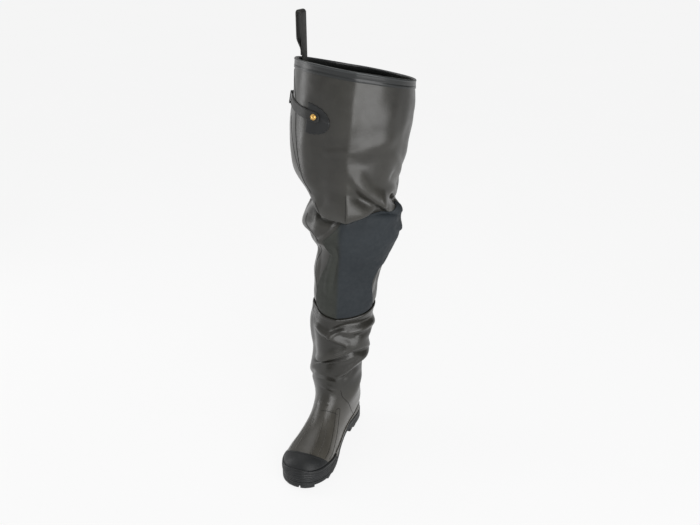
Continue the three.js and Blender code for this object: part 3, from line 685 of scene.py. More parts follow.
class Finish:
    """A material that starts as a Principled shader on object coordinates."""

    def __init__(self, name, constants=None):
        self.material = bpy.data.materials.new(name)
        self.material.use_nodes = True
        self.tree = self.material.node_tree
        self.shader = self.tree.nodes["Principled BSDF"]
        self.coordinates = self.node("ShaderNodeTexCoord").outputs["Object"]
        for socket, value in (constants or {}).items():
            self.shader.inputs[socket].default_value = value

    def node(self, kind, inputs=None, **properties):
        made = self.tree.nodes.new(kind)
        for key, value in properties.items():
            setattr(made, key, value)
        for key, value in (inputs or {}).items():
            if isinstance(value, bpy.types.NodeSocket):
                self.tree.links.new(value, made.inputs[key])
            else:
                made.inputs[key].default_value = value
        return made

    def noise(self, scale, detail=2.0, stretch=None):
        vector = self.coordinates
        if stretch:
            vector = self.node("ShaderNodeMapping", {"Vector": vector, "Scale": stretch}).outputs[0]
        inputs = {"Vector": vector, "Scale": scale, "Detail": detail}
        return self.node("ShaderNodeTexNoise", inputs).outputs["Fac"]

    def spread(self, value, low, high, to_low=0.0, to_high=1.0):
        inputs = {"Value": value, "From Min": low, "From Max": high, "To Min": to_low, "To Max": to_high}
        return self.node("ShaderNodeMapRange", inputs).outputs["Result"]

    def sum(self, a, b, kind="ADD"):
        return self.node("ShaderNodeMath", {0: a, 1: b}, operation=kind).outputs[0]

    def mix(self, share, a, b):
        made = self.node("ShaderNodeMix", data_type="RGBA")
        for index, value in ((0, share), (6, a), (7, b)):
            if isinstance(value, bpy.types.NodeSocket):
                self.tree.links.new(value, made.inputs[index])
            else:
                made.inputs[index].default_value = value
        return made.outputs[2]

    def attribute(self, name):
        return self.node("ShaderNodeAttribute", attribute_name=name).outputs["Fac"]

    def bump(self, height, distance, strength, below=None):
        inputs = {"Height": height, "Distance": distance, "Strength": strength}
        if below:
            inputs["Normal"] = below
        return self.node("ShaderNodeBump", inputs).outputs["Normal"]

    def link(self, socket, value):
        self.tree.links.new(value, self.shader.inputs[socket])


grain_scale = 900.0
grain_depth = 0.00006


def rubber(name, dark, light, rough, coat=0.0, worn=0.25, shine=0.42, dust=0.0):
    """Moulded rubber: mottled colour, broken gloss, sags and grain, rubbed crests, and dust low down."""
    finish = Finish(name, {"Coat Weight": coat, "Coat Roughness": 0.24, "Specular IOR Level": shine})
    broad = finish.noise(9.0, 3.0)
    middle = finish.noise(70.0, 4.0)
    fine = finish.noise(grain_scale, 2.0)
    crest = finish.spread(finish.attribute("lift"), 1.0, 6.0, 0.0, worn)
    share = finish.spread(finish.sum(broad, finish.sum(middle, 0.4, "MULTIPLY")), 0.5, 0.95)
    base = finish.mix(share, dark, light)
    if dust:
        height = finish.node("ShaderNodeSeparateXYZ", {"Vector": finish.coordinates}).outputs["Z"]
        low = finish.spread(height, 0.05, 0.15, dust, 0.0)
        dusty = finish.sum(low, finish.spread(broad, 0.35, 0.65, 0.6, 1.0), "MULTIPLY")
        base = finish.mix(dusty, base, linear(96, 92, 84))
    finish.link("Base Color", finish.mix(crest, base, [min(1, v * 1.5) for v in light[:3]] + [1.0]))
    finish.link("Roughness", finish.spread(finish.sum(middle, crest), 0.3, 0.95, rough - 0.06, rough + 0.1))
    sags = finish.bump(finish.noise(22.0, 3.0, (1.0, 1.0, 2.2)), 0.0014, 0.3)
    soft = finish.bump(middle, 0.0006, 0.35, sags)
    finish.link("Normal", finish.bump(fine, grain_depth, 0.5, soft))
    return finish.material


# %% The rubbers
olive_rubber = rubber("olive_rubber", linear(31, 30, 27), linear(43, 42, 38), 0.37, coat=0.1)
boot_rubber = rubber("boot_rubber", linear(29, 28, 25), linear(40, 39, 35), 0.36, coat=0.16, dust=0.4)
black_rubber = rubber("black_rubber", linear(19, 20, 21), linear(28, 30, 31), 0.52, worn=0.12, shine=0.34)
band_rubber = rubber("band_rubber", linear(16, 18, 18), linear(25, 27, 28), 0.38, coat=0.1, worn=0.05)
strap_rubber = rubber("strap_rubber", linear(28, 28, 27), linear(38, 38, 36), 0.52, worn=0.05, shine=0.32)
# The seam rubber is near black: partly the seam strips' own dark colour, partly painted shade that stands in
# for the shadow along each seam.
seam_and_shade_rubber = rubber("seam_and_shade_rubber", linear(15, 15, 13), linear(22, 21, 19), 0.55, worn=0.0, shine=0.25)
print("six rubbers")


# %% The matt knee pad
# The pad is a blue-black rubber with a fine pebbled grain. Its outer half is painted warmer and paler:
# painted light that stands in for warm light falling on that side.
# The share stored on its points says how much.
def pad_finish():
    finish = Finish("matt_pad", {"Specular IOR Level": 0.3})
    pebble = finish.node(
        "ShaderNodeTexVoronoi", {"Vector": finish.coordinates, "Scale": 620.0}, feature="SMOOTH_F1"
    ).outputs["Distance"]
    broad = finish.noise(11.0, 3.0)
    cool = finish.mix(finish.spread(broad, 0.35, 0.65), linear(27, 32, 36), linear(34, 39, 43))
    warm = finish.mix(finish.spread(broad, 0.35, 0.65), linear(38, 40, 36), linear(48, 50, 45))
    # Painted light: the outer half is mixed towards a warmer, paler tone, as if a warm lamp lit that side.
    finish.link("Base Color", finish.mix(finish.attribute("painted_warm_light"), cool, warm))
    finish.link("Roughness", finish.spread(finish.noise(120.0), 0.3, 0.7, 0.62, 0.78))
    finish.link("Normal", finish.bump(pebble, 0.00012, 0.45, finish.bump(broad, 0.0015, 0.2)))
    return finish.material


matt_pad = pad_finish()


# %% Knitted lining and brass
def lining_finish():
    """A fine jersey: rows of loops as two crossed waves."""
    finish = Finish("lining", {"Sheen Weight": 0.25, "Sheen Roughness": 0.5})
    loops = [
        finish.node(
            "ShaderNodeTexWave",
            {"Vector": finish.coordinates, "Scale": 95.0, "Distortion": 1.2, "Detail": 1.0},
            bands_direction=direction,
        ).outputs["Fac"]
        for direction in ("X", "Z")
    ]
    knit = finish.sum(*loops, "MULTIPLY")
    mottle = finish.spread(finish.noise(30.0, 3.0), 0.3, 0.7, 0.0, 0.5)
    base = finish.mix(mottle, linear(120, 118, 110), linear(146, 143, 134))
    finish.link("Base Color", finish.mix(finish.spread(knit, 0.0, 1.0, 0.0, 0.35), base, linear(92, 90, 84)))
    finish.link("Roughness", finish.spread(mottle, 0.0, 0.5, 0.85, 0.95))
    finish.link("Normal", finish.bump(knit, 0.0004, 0.6))
    return finish.material


def brass_finish():
    finish = Finish("brass", {"Metallic": 1.0})
    scratches = finish.noise(500.0, 4.0, (1.0, 1.0, 6.0))
    tarnish = finish.spread(finish.noise(260.0, 3.0), 0.42, 0.68)
    finish.link("Base Color", finish.mix(tarnish, linear(226, 186, 112), linear(176, 132, 70)))
    finish.link("Roughness", finish.spread(scratches, 0.3, 0.7, 0.22, 0.42))
    finish.link("Normal", finish.bump(scratches, 0.00008, 0.4))
    return finish.material


lining = lining_finish()
brass = brass_finish()
print("pad, lining and brass")

# %% [markdown]
# ## The two shells
# The boot is one moulding from toe to mid shin. The leg is a softer tube that starts inside the top of
# the boot, comes out over its edge and runs up to the thigh. A subdivided cage would smooth the folds
# away, so both are dense grids read straight from the worn skin.

# %% Boot
boot_rows = 206
boot_columns = 232
lip_height = 0.007
lip_rise = 0.0009


def rows_between(start, end, count, tight):
    """Travels that stand closer at the end, where a rim needs them."""
    even = np.linspace(0, 1, count)
    return start + (end - start) * (even + tight * np.sin(np.pi * even) / np.pi * even)


boot_travels = rows_between(toe_travel, boot_height, boot_rows, 0.35)
boot_angles = np.arange(boot_columns) * 360 / boot_columns
boot_outer, boot_lift = worn_skin(boot_travels[:, None], boot_angles[None])
boot_normals = grid_normals(boot_outer)
lip = lip_rise * ease(boot_height - lip_height, boot_height - lip_height + 0.0015, boot_travels)
lip[-1] -= 0.0006
boot_outer = boot_outer + boot_normals * lip[:, None, None]
boot_lining = boot_outer - boot_normals * (foot_wall + lip[:, None, None])
boot_inner = boot_lining[::2, ::2].copy()
boot_inner[-1] = boot_lining[-1, ::2]
tube_piece(
    "boot_upper_shell", boot_outer, boot_inner, [boot_rubber, lining], ["boot_upper"],
    boot_lift, closed_start=True,
)
on_boot = sampler(boot_travels, boot_outer, boot_normals)

# %% Leg
leg_rows_fine = 246
leg_columns = 288
lap_offset = -foot_wall - 2 * gap
leg_travels = np.linspace(boot_height - lap, leg_height, leg_rows_fine)
leg_angles = np.arange(leg_columns) * 360 / leg_columns
leg_outer, leg_lift = worn_skin(leg_travels[:, None], leg_angles[None])
leg_normals = grid_normals(leg_outer)
come_out = lap_offset * (1 - ease(boot_height, boot_height + lap_run, leg_travels))
leg_outer = leg_outer + leg_normals * come_out[:, None, None]
leg_inner = (leg_outer - leg_normals * leg_wall)[:, ::2]
leg_inner = leg_inner[np.r_[0 : leg_rows_fine - 1 : 2, leg_rows_fine - 1]]
tube_piece(
    "leg_shaft_shell", leg_outer, leg_inner, [olive_rubber, lining], ["leg_shaft"], leg_lift
)
on_leg = sampler(leg_travels, leg_outer, leg_normals)

# %% [markdown]
# ## Sheets that lie on the leg
# The pad, the patch, the strap and its tip are all cut from flat sheet and lie on the worn skin. They
# could be shrinkwrapped, but a Shrinkwrap modifier slides and thins an edge. Each is a grid read at a
# small distance from the skin's own grid, with its lines crowded along the border, where the sheet's
# edge is rounded off.

# %% Sheet helpers
border_lines = (0.0, 0.0004, 0.0011)
border_profile = (0.25, 0.8, 1.0)


def crowded(length, spacing):
    """Shares from 0 to 1 with lines crowded at both ends, for a sheet of a length in metres."""
    edge = np.array(border_lines) / length
    count = max(2, int(round((1 - 2 * edge[-1]) * length / spacing)))
    return np.r_[edge[:-1], np.linspace(edge[-1], 1 - edge[-1], count + 1), 1 - edge[:-1][::-1]]


def edge_share(rows, columns):
    """How much of its thickness a sheet has at each grid point."""
    down, across = np.arange(rows), np.arange(columns)
    away = np.minimum.outer(np.minimum(down, down[::-1]), np.minimum(across, across[::-1]))
    return np.array(border_profile)[np.minimum(away, len(border_profile) - 1)]


def sheet_piece(name, place, travel, angle, seat, thick, material, stands_for):
    """A closed sheet from grids of travel (growing along rows) and angle (growing along columns)."""
    rows, columns = travel.shape
    top = place(travel, angle, seat + thick * edge_share(rows, columns))
    low = place(travel, angle, seat)
    points = np.concatenate([top.reshape(-1, 3), low.reshape(-1, 3)])
    first = rows * columns
    faces = [*grid_faces(rows, columns, wrap=False)]
    faces += [*grid_faces(rows, columns, first, wrap=False, flip=True)]
    numbers = np.arange(first).reshape(rows, columns)
    loop = np.r_[numbers[0, :-1], numbers[:-1, -1], numbers[-1, :0:-1], numbers[:0:-1, 0]]
    faces += [(a, b, b + first, a + first) for a, b in zip(loop, np.roll(loop, -1))]
    return make_piece(name, points, faces, [material], [stands_for])


# %% Knee pad
# Rows from its lower edge up: travel, outer edge and inner edge in degrees from the front. Its upper
# outer corner is cut away under the roll of the thigh.
pad_rows = table([
    (337, -60, 66),
    (365, -57, 57),
    (394, -52, 50),
    (420, -42, 54),
    (436, -37, 64),
    (455, -32, 73),
    (482, -27, 80),
    (506, -28, 84),
    (520, -18, 85),
    (540, -8, 85),
    (563, 1, 85),
])
pad_seat = 0.0003
pad_thick = 0.0014
pad_low, pad_high = 0.337, 0.563
pad_wide = 0.14
pad_spacing_up, pad_spacing_round = 0.0024, 0.0022
pad_up = crowded(pad_high - pad_low, pad_spacing_up)[:, None]
pad_round = crowded(pad_wide, pad_spacing_round)[None]
pad_travel = pad_low + (pad_high - pad_low) * pad_up + 0 * pad_round
pad_edges = pad_rows(pad_travel * 1000)
pad_around = pad_edges[..., 1] + (pad_edges[..., 0] - pad_edges[..., 1]) * pad_round
pad = sheet_piece(
    "knee_pad_sheet", on_leg, pad_travel, 90 - pad_around, pad_seat, pad_thick, matt_pad,
    "knee_pad",
)
# Share of painted warm light: full on the pad's outer half, fading out at the crease.
painted_warm_light = np.tile(1 - ease(-9, -2, pad_around).reshape(-1), 2)
give_attribute(pad, "painted_warm_light", painted_warm_light * 0.9)

# %% Patch under the snap
# A D shape with its straight edge behind and a round, slightly puckered edge in front.
patch_height_at = 0.745
patch_half = 0.026
patch_sag = 0.006
patch_from, patch_to = -41.0, -17.0
patch_seat = 0.0003
patch_thick = 0.0013
patch_long = 0.046
patch_spacing = 0.0013
pucker_count = 5
patch_across = crowded(patch_long, patch_spacing)[None]
patch_up = crowded(2 * patch_half, patch_spacing)[:, None]
patch_bulge = np.sqrt(np.maximum(1 - patch_across**2.6, 0.012))
patch_pucker = 1 + 0.05 * np.cos(2 * np.pi * pucker_count * patch_across) * patch_across
patch_reach = patch_half * patch_bulge * patch_pucker
patch_travel = patch_height_at - patch_sag * patch_across + patch_reach * (2 * patch_up - 1)
patch_around = patch_from + (patch_to - patch_from) * patch_across + 0 * patch_up
patch_wave = np.maximum(0, np.sin(3.0 * np.pi * patch_up + 2.2 * patch_across)) ** 3
patch_fold = 0.0011 * patch_wave * ease(0.45, 0.85, patch_across) * (1 - ease(0.93, 1.0, patch_across))
sheet_piece(
    "strap_patch_sheet", on_leg, patch_travel[:, ::-1], 90 - patch_around[:, ::-1], patch_seat,
    patch_thick + patch_fold[:, ::-1], black_rubber, "strap_patch",
)

# %% Strap
snap_height = leg_height - 0.087
snap_around = -33.0
strap_end, keeper_around = -128.0, -88.0
strap_half = 0.009
strap_thick = 0.002
strap_rise = 0.017
strap_tip = 5.5
tip_degrees = 4.2
strap_seat_low = 0.0005
strap_seat_high = patch_seat + patch_thick + 0.0003


def strap_line(around):
    return snap_height + strap_rise * np.minimum((snap_around - around) / (snap_around - keeper_around), 1)


def strap_seat(around):
    rise = ease(patch_from - 9, patch_from + 1, around)
    return strap_seat_low + (strap_seat_high - strap_seat_low) * rise


strap_long = 0.19
strap_spacing_along, strap_spacing_across = 0.0022, 0.0012
strap_along = crowded(strap_long, strap_spacing_along)[None]
strap_across = crowded(2 * strap_half, strap_spacing_across)[:, None]
strap_start = snap_around + strap_tip
strap_around = strap_start + (strap_end - strap_start) * strap_along + 0 * strap_across
tip_share = np.clip((strap_start - strap_around) / tip_degrees, 0, 1)
strap_width = strap_half * np.sqrt(1 - (1 - tip_share) ** 2 * 0.86)
strap_travel = strap_line(strap_around) + strap_width * (2 * strap_across - 1)
strap_ridge = 0.0003 * np.exp(-(((np.abs(2 * strap_across - 1) - 0.78) / 0.09) ** 2))
sheet_piece(
    "side_strap_band", on_leg, strap_travel, 90 - strap_around, strap_seat(strap_around),
    strap_thick + strap_ridge + 0 * strap_around, strap_rubber, "side_strap",
)

# %% [markdown]
# The keeper is a short moulded loop that the strap passes through, and the snap is a turned brass
# button. A loop is a ring of two outlines pushed along the strap. The button is a profile turned about
# its own axis, which is what the Spin tool does, here as a formula so that it can face out of the thigh.

# %% Keeper
keeper_wall = 0.0021
keeper_degrees = 6.5
keeper_clear = 0.0003
keeper_half = strap_half + keeper_wall
slot_half = strap_half + keeper_clear
keeper_height, keeper_corner = 0.0052, 0.0014
slot_low, slot_high, slot_corner = 0.0002, 0.0031, 0.0002
outer_loop = rounded_section(-keeper_half, keeper_half, 0.0, keeper_height, keeper_corner, 4)
inner_loop = rounded_section(-slot_half, slot_half, slot_low, slot_high, slot_corner, 4)
keeper_steps = np.linspace(keeper_around + keeper_degrees / 2, keeper_around - keeper_degrees / 2, 9)
keeper_rings = []
for number, around in enumerate(keeper_steps):
    shrink = 0.0005 if number in (0, len(keeper_steps) - 1) else 0.0
    for loop, move in ((outer_loop, -shrink), (inner_loop, shrink)):
        middle = loop.mean(0)
        moved = loop + np.sign(loop - middle) * move
        keeper_rings.append(on_leg(strap_line(around) + moved[:, 0], 90 - around, moved[:, 1]))
keeper_rings = np.array(keeper_rings).reshape(len(keeper_steps), 2, len(outer_loop), 3)
count = len(outer_loop)
inner_first = len(keeper_steps) * count
keeper_faces = [*grid_faces(len(keeper_steps), count)]
keeper_faces += [*grid_faces(len(keeper_steps), count, inner_first, flip=True)]
for end, flip in ((0, False), (len(keeper_steps) - 1, True)):
    for j in range(count):
        k = (j + 1) % count
        a, b = end * count + j, end * count + k
        face = (a, b, b + inner_first, a + inner_first)
        keeper_faces.append(face[::-1] if flip else face)
keeper_points = np.concatenate([keeper_rings[:, 0].reshape(-1, 3), keeper_rings[:, 1].reshape(-1, 3)])
make_piece(
    "strap_keeper_loop", keeper_points, keeper_faces, [black_rubber], ["strap_keeper"]
)

# %% Snap
#  radius, height, in millimetres, from the rim inwards
snap_profile = [
    (4.7, 0.0), (5.3, 0.15), (5.5, 0.6), (5.3, 1.05), (4.8, 1.2), (4.4, 1.0), (4.2, 0.85), (3.9, 1.0),
    (3.6, 1.5), (3.1, 2.1), (2.4, 2.5), (1.6, 2.72), (0.8, 2.82),
]
snap_turns = 40
snap_clear = 0.0002
dome_height = 0.00285
snap_seat = strap_seat_high + strap_thick + snap_clear
snap_foot = on_leg(snap_height, 90 - snap_around, snap_seat)
snap_ahead = Vector(on_leg(snap_height, 90 - snap_around, snap_seat + 0.01) - snap_foot).normalized()
snap_turning = np.array(Vector((0, 0, 1)).rotation_difference(snap_ahead).to_matrix())
snap_angles = np.linspace(0, 2 * np.pi, snap_turns, endpoint=False)
snap_points = [
    snap_foot + snap_turning @ (np.array([r * np.cos(a), r * np.sin(a), z]) / 1000)
    for r, z in snap_profile
    for a in snap_angles
]
snap_faces = [tuple(face[::-1]) for face in grid_faces(len(snap_profile), snap_turns)]
snap_points += [snap_foot, snap_foot + np.array(snap_ahead) * dome_height]
last = (len(snap_profile) - 1) * snap_turns
for j in range(snap_turns):
    k = (j + 1) % snap_turns
    snap_faces += [(len(snap_points) - 2, k, j), (len(snap_points) - 1, last + j, last + k)]
make_piece("snap_button", snap_points, snap_faces, [brass], ["snap"])

# %% [markdown]
# ## Binding and belt strap
# A black binding is folded over the raw top edge, with a paler bead along its fold. It is one profile
# carried round the edge. The belt strap is a flat strip, drawn as a path seen from the front and given
# its width, which a Curve with a Bevel could do too, but not with its crisp, slightly rounded edges.

# %% Binding
#  up from the top edge, out from the skin, in millimetres
binding_profile = [
    (-15.0, 0.3), (-15.1, 0.9), (-14.6, 1.4), (-9.6, 1.5), (-9.1, 1.2), (-8.6, 1.2), (-8.1, 1.5),
    (-2.2, 1.6), (-1.8, 1.7), (-1.0, 2.3), (0.3, 2.6), (1.5, 2.2), (2.2, 1.2), (2.4, -0.6),
    (1.9, -2.2), (0.6, -3.0), (-1.2, -3.1), (-15.0, -3.0), (-15.0, -1.8), (0.2, -1.8), (0.2, 0.3),
]
bead_from, bead_to = 8, 15
binding_angles = np.arange(leg_columns) * 360 / leg_columns
binding_grid = []
for up, out in binding_profile:
    ring = on_leg(leg_height + min(up, 0) / 1000, binding_angles, out / 1000)
    ring[:, 2] += max(up, 0) / 1000
    binding_grid.append(ring)
binding_grid = np.array(binding_grid)
binding_rows = len(binding_profile)
binding_faces = [
    (i * leg_columns + j, ((i + 1) % binding_rows) * leg_columns + j,
     ((i + 1) % binding_rows) * leg_columns + k, i * leg_columns + k)
    for i in range(binding_rows)
    for j, k in zip(range(leg_columns), np.roll(np.arange(leg_columns), -1))
]
binding_picks = [int(bead_from <= i < bead_to) for i in range(binding_rows) for _ in range(leg_columns)]
bead_rubber = rubber("bead_rubber", linear(30, 32, 33), linear(42, 45, 46), 0.36, coat=0.1, worn=0.05)
make_piece(
    "collar_binding", binding_grid.reshape(-1, 3), binding_faces, [band_rubber, bead_rubber],
    ["collar_band"], picks=binding_picks,
)

# %% Belt strap with its loop
loop_width = 0.022
loop_thick = 0.002
loop_top = 0.088
loop_opening = 0.010
loop_throat = 0.018
loop_root = 0.045
loop_around = -112
strip_step = 0.006
strip_corner = 0.0005
rim = face_point(leg_height, 90 - loop_around)
strap_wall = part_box("belt_strap")[1][0] - loop_thick / 2
bend_radius = loop_opening / 2
rise_steps = 1 + int((loop_root + loop_top - bend_radius) / strip_step)
path = [(0.0, -loop_root + strip_step * i) for i in range(rise_steps)]
bend_height = path[-1][1]
for degrees in range(15, 181, 15):
    a = math.radians(degrees)
    path.append((bend_radius - bend_radius * math.cos(a), bend_height + bend_radius * math.sin(a)))
fold_height = loop_throat + loop_opening * 2
for share in np.linspace(0.1, 1, 9):
    path.append((loop_opening, bend_height - (bend_height - fold_height) * share))
closed_gap = loop_thick * 1.1
fold_run = 0.024
for share in np.linspace(0.12, 1, 9):
    closing = (loop_opening - closed_gap) * float(ease(0, 1, share))
    path.append((loop_opening - closing, fold_height - fold_run * share))
path += [(closed_gap, loop_throat - 0.008), (closed_gap, loop_throat - 0.012)]
path = np.array(path)
directions = np.gradient(path, axis=0)
directions /= np.linalg.norm(directions, axis=1, keepdims=True)
section_points = rounded_section(
    -loop_width / 2, loop_width / 2, -loop_thick / 2, loop_thick / 2, strip_corner, 3
)
belt_points = []
for (x, z), (dx, dz) in zip(path, directions):
    for across, out in section_points:
        side = np.array([-dz, dx]) * out
        belt_points.append((strap_wall - (x + side[0]), rim[1] + across, rim[2] + z + side[1]))
make_piece(
    "belt_strap_loop", belt_points, swept_faces(len(path), len(section_points)), [strap_rubber],
    ["belt_strap"],
)

# %% [markdown]
# ## Trims of the foot
# The black cap is a sheet like the pad, with an arched upper edge and a lower edge that meets the
# bumper. The bumper and the olive foxing are ribbed bands wrapped round the joint of upper and sole.
# A band could be a Curve with a bevel profile, but it has to hug the upper. So rays are cast inwards
# from the sole's outline, and the band's profile stands on the points that they hit.

# %% Toe cap
#  degrees from the front, travel of the cap's upper edge in millimetres
cap_edge = table([(-84, -94), (-70, -100), (-52, -108), (-10, -117), (31, -115), (68, -103), (86, -93)])
cap_seat = 0.0003
cap_thick = 0.0015
bumper_height = 0.025
bumper_start = sole_length - 0.104
cap_clear = 0.0005


def bumper_share(u):
    """The bumper is lower towards its ends, where it meets the foxing."""
    return 0.6 + 0.4 * ease(bumper_start, bumper_start + 0.06, u)


def bed_under(points):
    """Height of the foot bed under or over points of the foot."""
    return foot_bed(heel_setback - points[..., 1])


cap_angles = np.linspace(3, 177, 349)
cap_travels = np.linspace(toe_travel + 0.0005, -0.080, 220)
least_cap = 0.0025
cap_points = on_boot(cap_travels[:, None], cap_angles[None])
cap_bumper = bumper_height * bumper_share(heel_setback - cap_points[..., 1])
above = cap_points[..., 2] - bed_under(cap_points) > cap_bumper + cap_clear
cap_first = cap_travels[np.argmax(above, axis=0)]
cap_last = cap_edge(90 - cap_angles)[:, 0] / 1000
kept = above.any(0) & (cap_last - cap_first > least_cap)
cap_low_angle, cap_high_angle = cap_angles[kept].min(), cap_angles[kept].max()
cap_wide, cap_long = 0.15, 0.05
cap_spacing_round, cap_spacing_up = 0.0016, 0.0014
cap_shares = crowded(cap_wide, cap_spacing_round)[None]
cap_round = cap_low_angle + (cap_high_angle - cap_low_angle) * cap_shares
cap_up = crowded(cap_long, cap_spacing_up)[:, None]
cap_from = np.interp(cap_round, cap_angles, cap_first)
cap_to = cap_edge(90 - cap_round)[..., 0] / 1000
sheet_piece(
    "toe_cap_sheet", on_boot, cap_from + (cap_to - cap_from) * cap_up, cap_round + 0 * cap_up,
    cap_seat, cap_thick, black_rubber, "toe_cap",
)
print("cap from", round(cap_low_angle), "to", round(cap_high_angle), "degrees")

# %% The sole's outline as one even loop
loop_count = 300
loop_smooth = 5


def outline_loop():
    """Points round the sole, from the back of the heel along the outer side, evenly spaced."""
    u = sole_length * (1 - np.cos(np.linspace(0, np.pi, 400))) / 2
    outer, inner = (outline(u / sole_length) * ball_width).T
    back = heel_setback - u
    side = np.concatenate([np.stack([-outer, back], -1), np.stack([inner, back], -1)[::-1]])
    side = np.vstack([side, side[:1]])
    reach = np.r_[0, np.cumsum(np.linalg.norm(np.diff(side, axis=0), axis=1))]
    start = (reach[-1] - outer[0] - inner[0] / 2) / reach[-1]
    places = ((np.arange(loop_count) / loop_count + start) % 1) * reach[-1]
    loop = np.stack([np.interp(places, reach, side[:, k]) for k in (0, 1)], -1)
    for _ in range(loop_smooth):
        loop = (np.roll(loop, 1, 0) + 2 * loop + np.roll(loop, -1, 0)) / 4
    return loop


def loop_outward(loop):
    run = np.roll(loop, -1, 0) - np.roll(loop, 1, 0)
    out = np.stack([run[:, 1], -run[:, 0]], -1)
    out /= np.linalg.norm(out, axis=1, keepdims=True)
    return out if (out * (loop - loop.mean(0))).sum() > 0 else -out


sole_loop = outline_loop()
sole_out = loop_outward(sole_loop)
loop_u = heel_setback - sole_loop[:, 1]
print("sole outline", round(float(np.linalg.norm(np.diff(sole_loop, axis=0), axis=1).sum()), 3), "m round")

# %% Bands round the foot
skin_points = [Vector(p) for p in boot_outer.reshape(-1, 3)] + [Vector(boot_outer[0].mean(0))]
tip_fan = [(boot_rows * boot_columns, (j + 1) % boot_columns, j) for j in range(boot_columns)]
skin_faces = [tuple(f) for f in grid_faces(boot_rows, boot_columns)]
boot_skin = BVHTree.FromPolygons(skin_points, skin_faces + tip_fan)
cast_from = 0.030


def skin_point(spot, out, height):
    """Where a level ray from outside first meets the upper at a height, or the spot itself."""
    start = Vector((spot[0] + out[0] * cast_from, spot[1] + out[1] * cast_from, height))
    hit = boot_skin.ray_cast(start, Vector((-out[0], -out[1], 0)), 2 * cast_from)[0]
    return hit if hit else Vector((spot[0] - out[0] * sole_edge, spot[1] - out[1] * sole_edge, height))


band_seat = 0.0003
fill_height = 0.012
thin_end = 0.35


def band_piece(name, picks, profile, wall, share, material, stands_for):
    """A ribbed band: profile rows are height above the bed and thickness, in millimetres.

    Low down its outside keeps to the sole's edge, less the wall, where the upper tucks in under the foot.
    """
    heights = np.array([row[0] for row in profile]) / 1000
    thick = np.array([row[1] for row in profile]) / 1000
    rings = []
    for i in picks:
        spot, out = sole_loop[i], sole_out[i]
        bed = float(foot_bed(heel_setback - spot[1]))
        ends = thin_end if i in (picks[0], picks[-1]) else 1.0
        base = np.array([skin_point(spot, out, bed + h) for h in heights * share(loop_u[i])])
        away = np.array([out[0], out[1], 0])
        reach = (base[:, :2] - spot) @ out
        fill = np.maximum(0, -wall - 0.5 * np.maximum(0, heights - fill_height) - reach)
        outer = base + away * (band_seat + fill + thick * ends)[:, None]
        inner = base[::-1] + away * band_seat
        rings.append(np.concatenate([outer, inner]))
    points = np.array(rings).reshape(-1, 3)
    make_piece(name, points, swept_faces(len(picks), 2 * len(profile)), [material], [stands_for])


#  height above the bed, thickness
bumper_profile = [
    (0.7, 1.2), (0.9, 2.7), (1.6, 3.2), (4.4, 3.2), (5.0, 2.5), (5.6, 2.5), (6.2, 3.2), (8.8, 3.2),
    (9.4, 2.5), (10.0, 2.5), (10.6, 3.2), (13.2, 3.1), (13.8, 2.4), (14.4, 2.4), (15.0, 3.1),
    (17.6, 3.1), (18.2, 2.4), (18.8, 2.4), (19.4, 3.2), (22.8, 3.3), (24.2, 3.0), (24.8, 2.3),
    (25.0, 1.2),
]
foxing_profile = [
    (0.7, 0.8), (0.9, 1.6), (1.5, 2.0), (3.6, 2.0), (4.2, 1.4), (4.8, 1.4), (5.4, 2.0), (9.6, 2.0),
    (10.2, 1.4), (10.8, 1.4), (11.4, 2.0), (13.6, 1.9), (14.5, 1.6), (15.0, 0.8),
]
toe_picks = [i for i in range(loop_count) if loop_u[i] > bumper_start]
heel_first = [i for i in range(loop_count) if loop_u[i] <= bumper_start - gap]
split = max(i for i in heel_first if i < loop_count / 2)
heel_picks = [i for i in heel_first if i > split] + [i for i in heel_first if i <= split]
bumper_wall, foxing_wall = 0.0036, 0.0032
band_piece(
    "toe_bumper_band", toe_picks, bumper_profile, bumper_wall, bumper_share, black_rubber,
    "toe_bumper",
)
band_piece(
    "side_foxing_band", heel_picks, foxing_profile, foxing_wall, np.ones_like, boot_rubber,
    "side_foxing",
)

# %% [markdown]
# ## Sole and cleats
# The sole is one slab that follows the outline, with a welt line round its edge and curved lugs round
# the tip of the toe. The cleats behind them repeat, and each could be an array or a copy. They are made
# by Geometry Nodes: points carry the place and the size of each cleat, and the tree puts a chamfered
# bar on each point, then makes them real and gives them their rubber.

# %% Sole slab
#  share of the way up the edge, how far it stands out in millimetres
edge_profile = [
    (0.0, -0.6), (0.05, -0.1), (0.12, 0.0), (0.5, 0.0), (0.56, -0.5), (0.64, -0.5), (0.7, 0.0),
    (0.93, 0.0), (1.0, -0.5),
]
under = cleat_depth + waist(loop_u) + spring(loop_u)
over = foot_bed(loop_u)
slab = []
for share, out in edge_profile:
    ring = sole_loop + sole_out * out / 1000
    slab.append(np.column_stack([ring, under + (over - under) * share]))
slab = np.array(slab)
slab_rows = len(edge_profile)
slab_faces = [tuple(f) for f in grid_faces(slab_rows, loop_count, flip=True)]
half_loop = loop_count // 2
for first, flip in ((0, True), ((slab_rows - 1) * loop_count, False)):
    for i in range(half_loop):
        a, b = i, i + 1
        c, d = (loop_count - i - 1) % loop_count, (loop_count - i) % loop_count
        corners = [first + v for v in dict.fromkeys((a, b, c, d))]
        if len(corners) > 2:
            slab_faces.append(tuple(corners[::-1] if flip else corners))

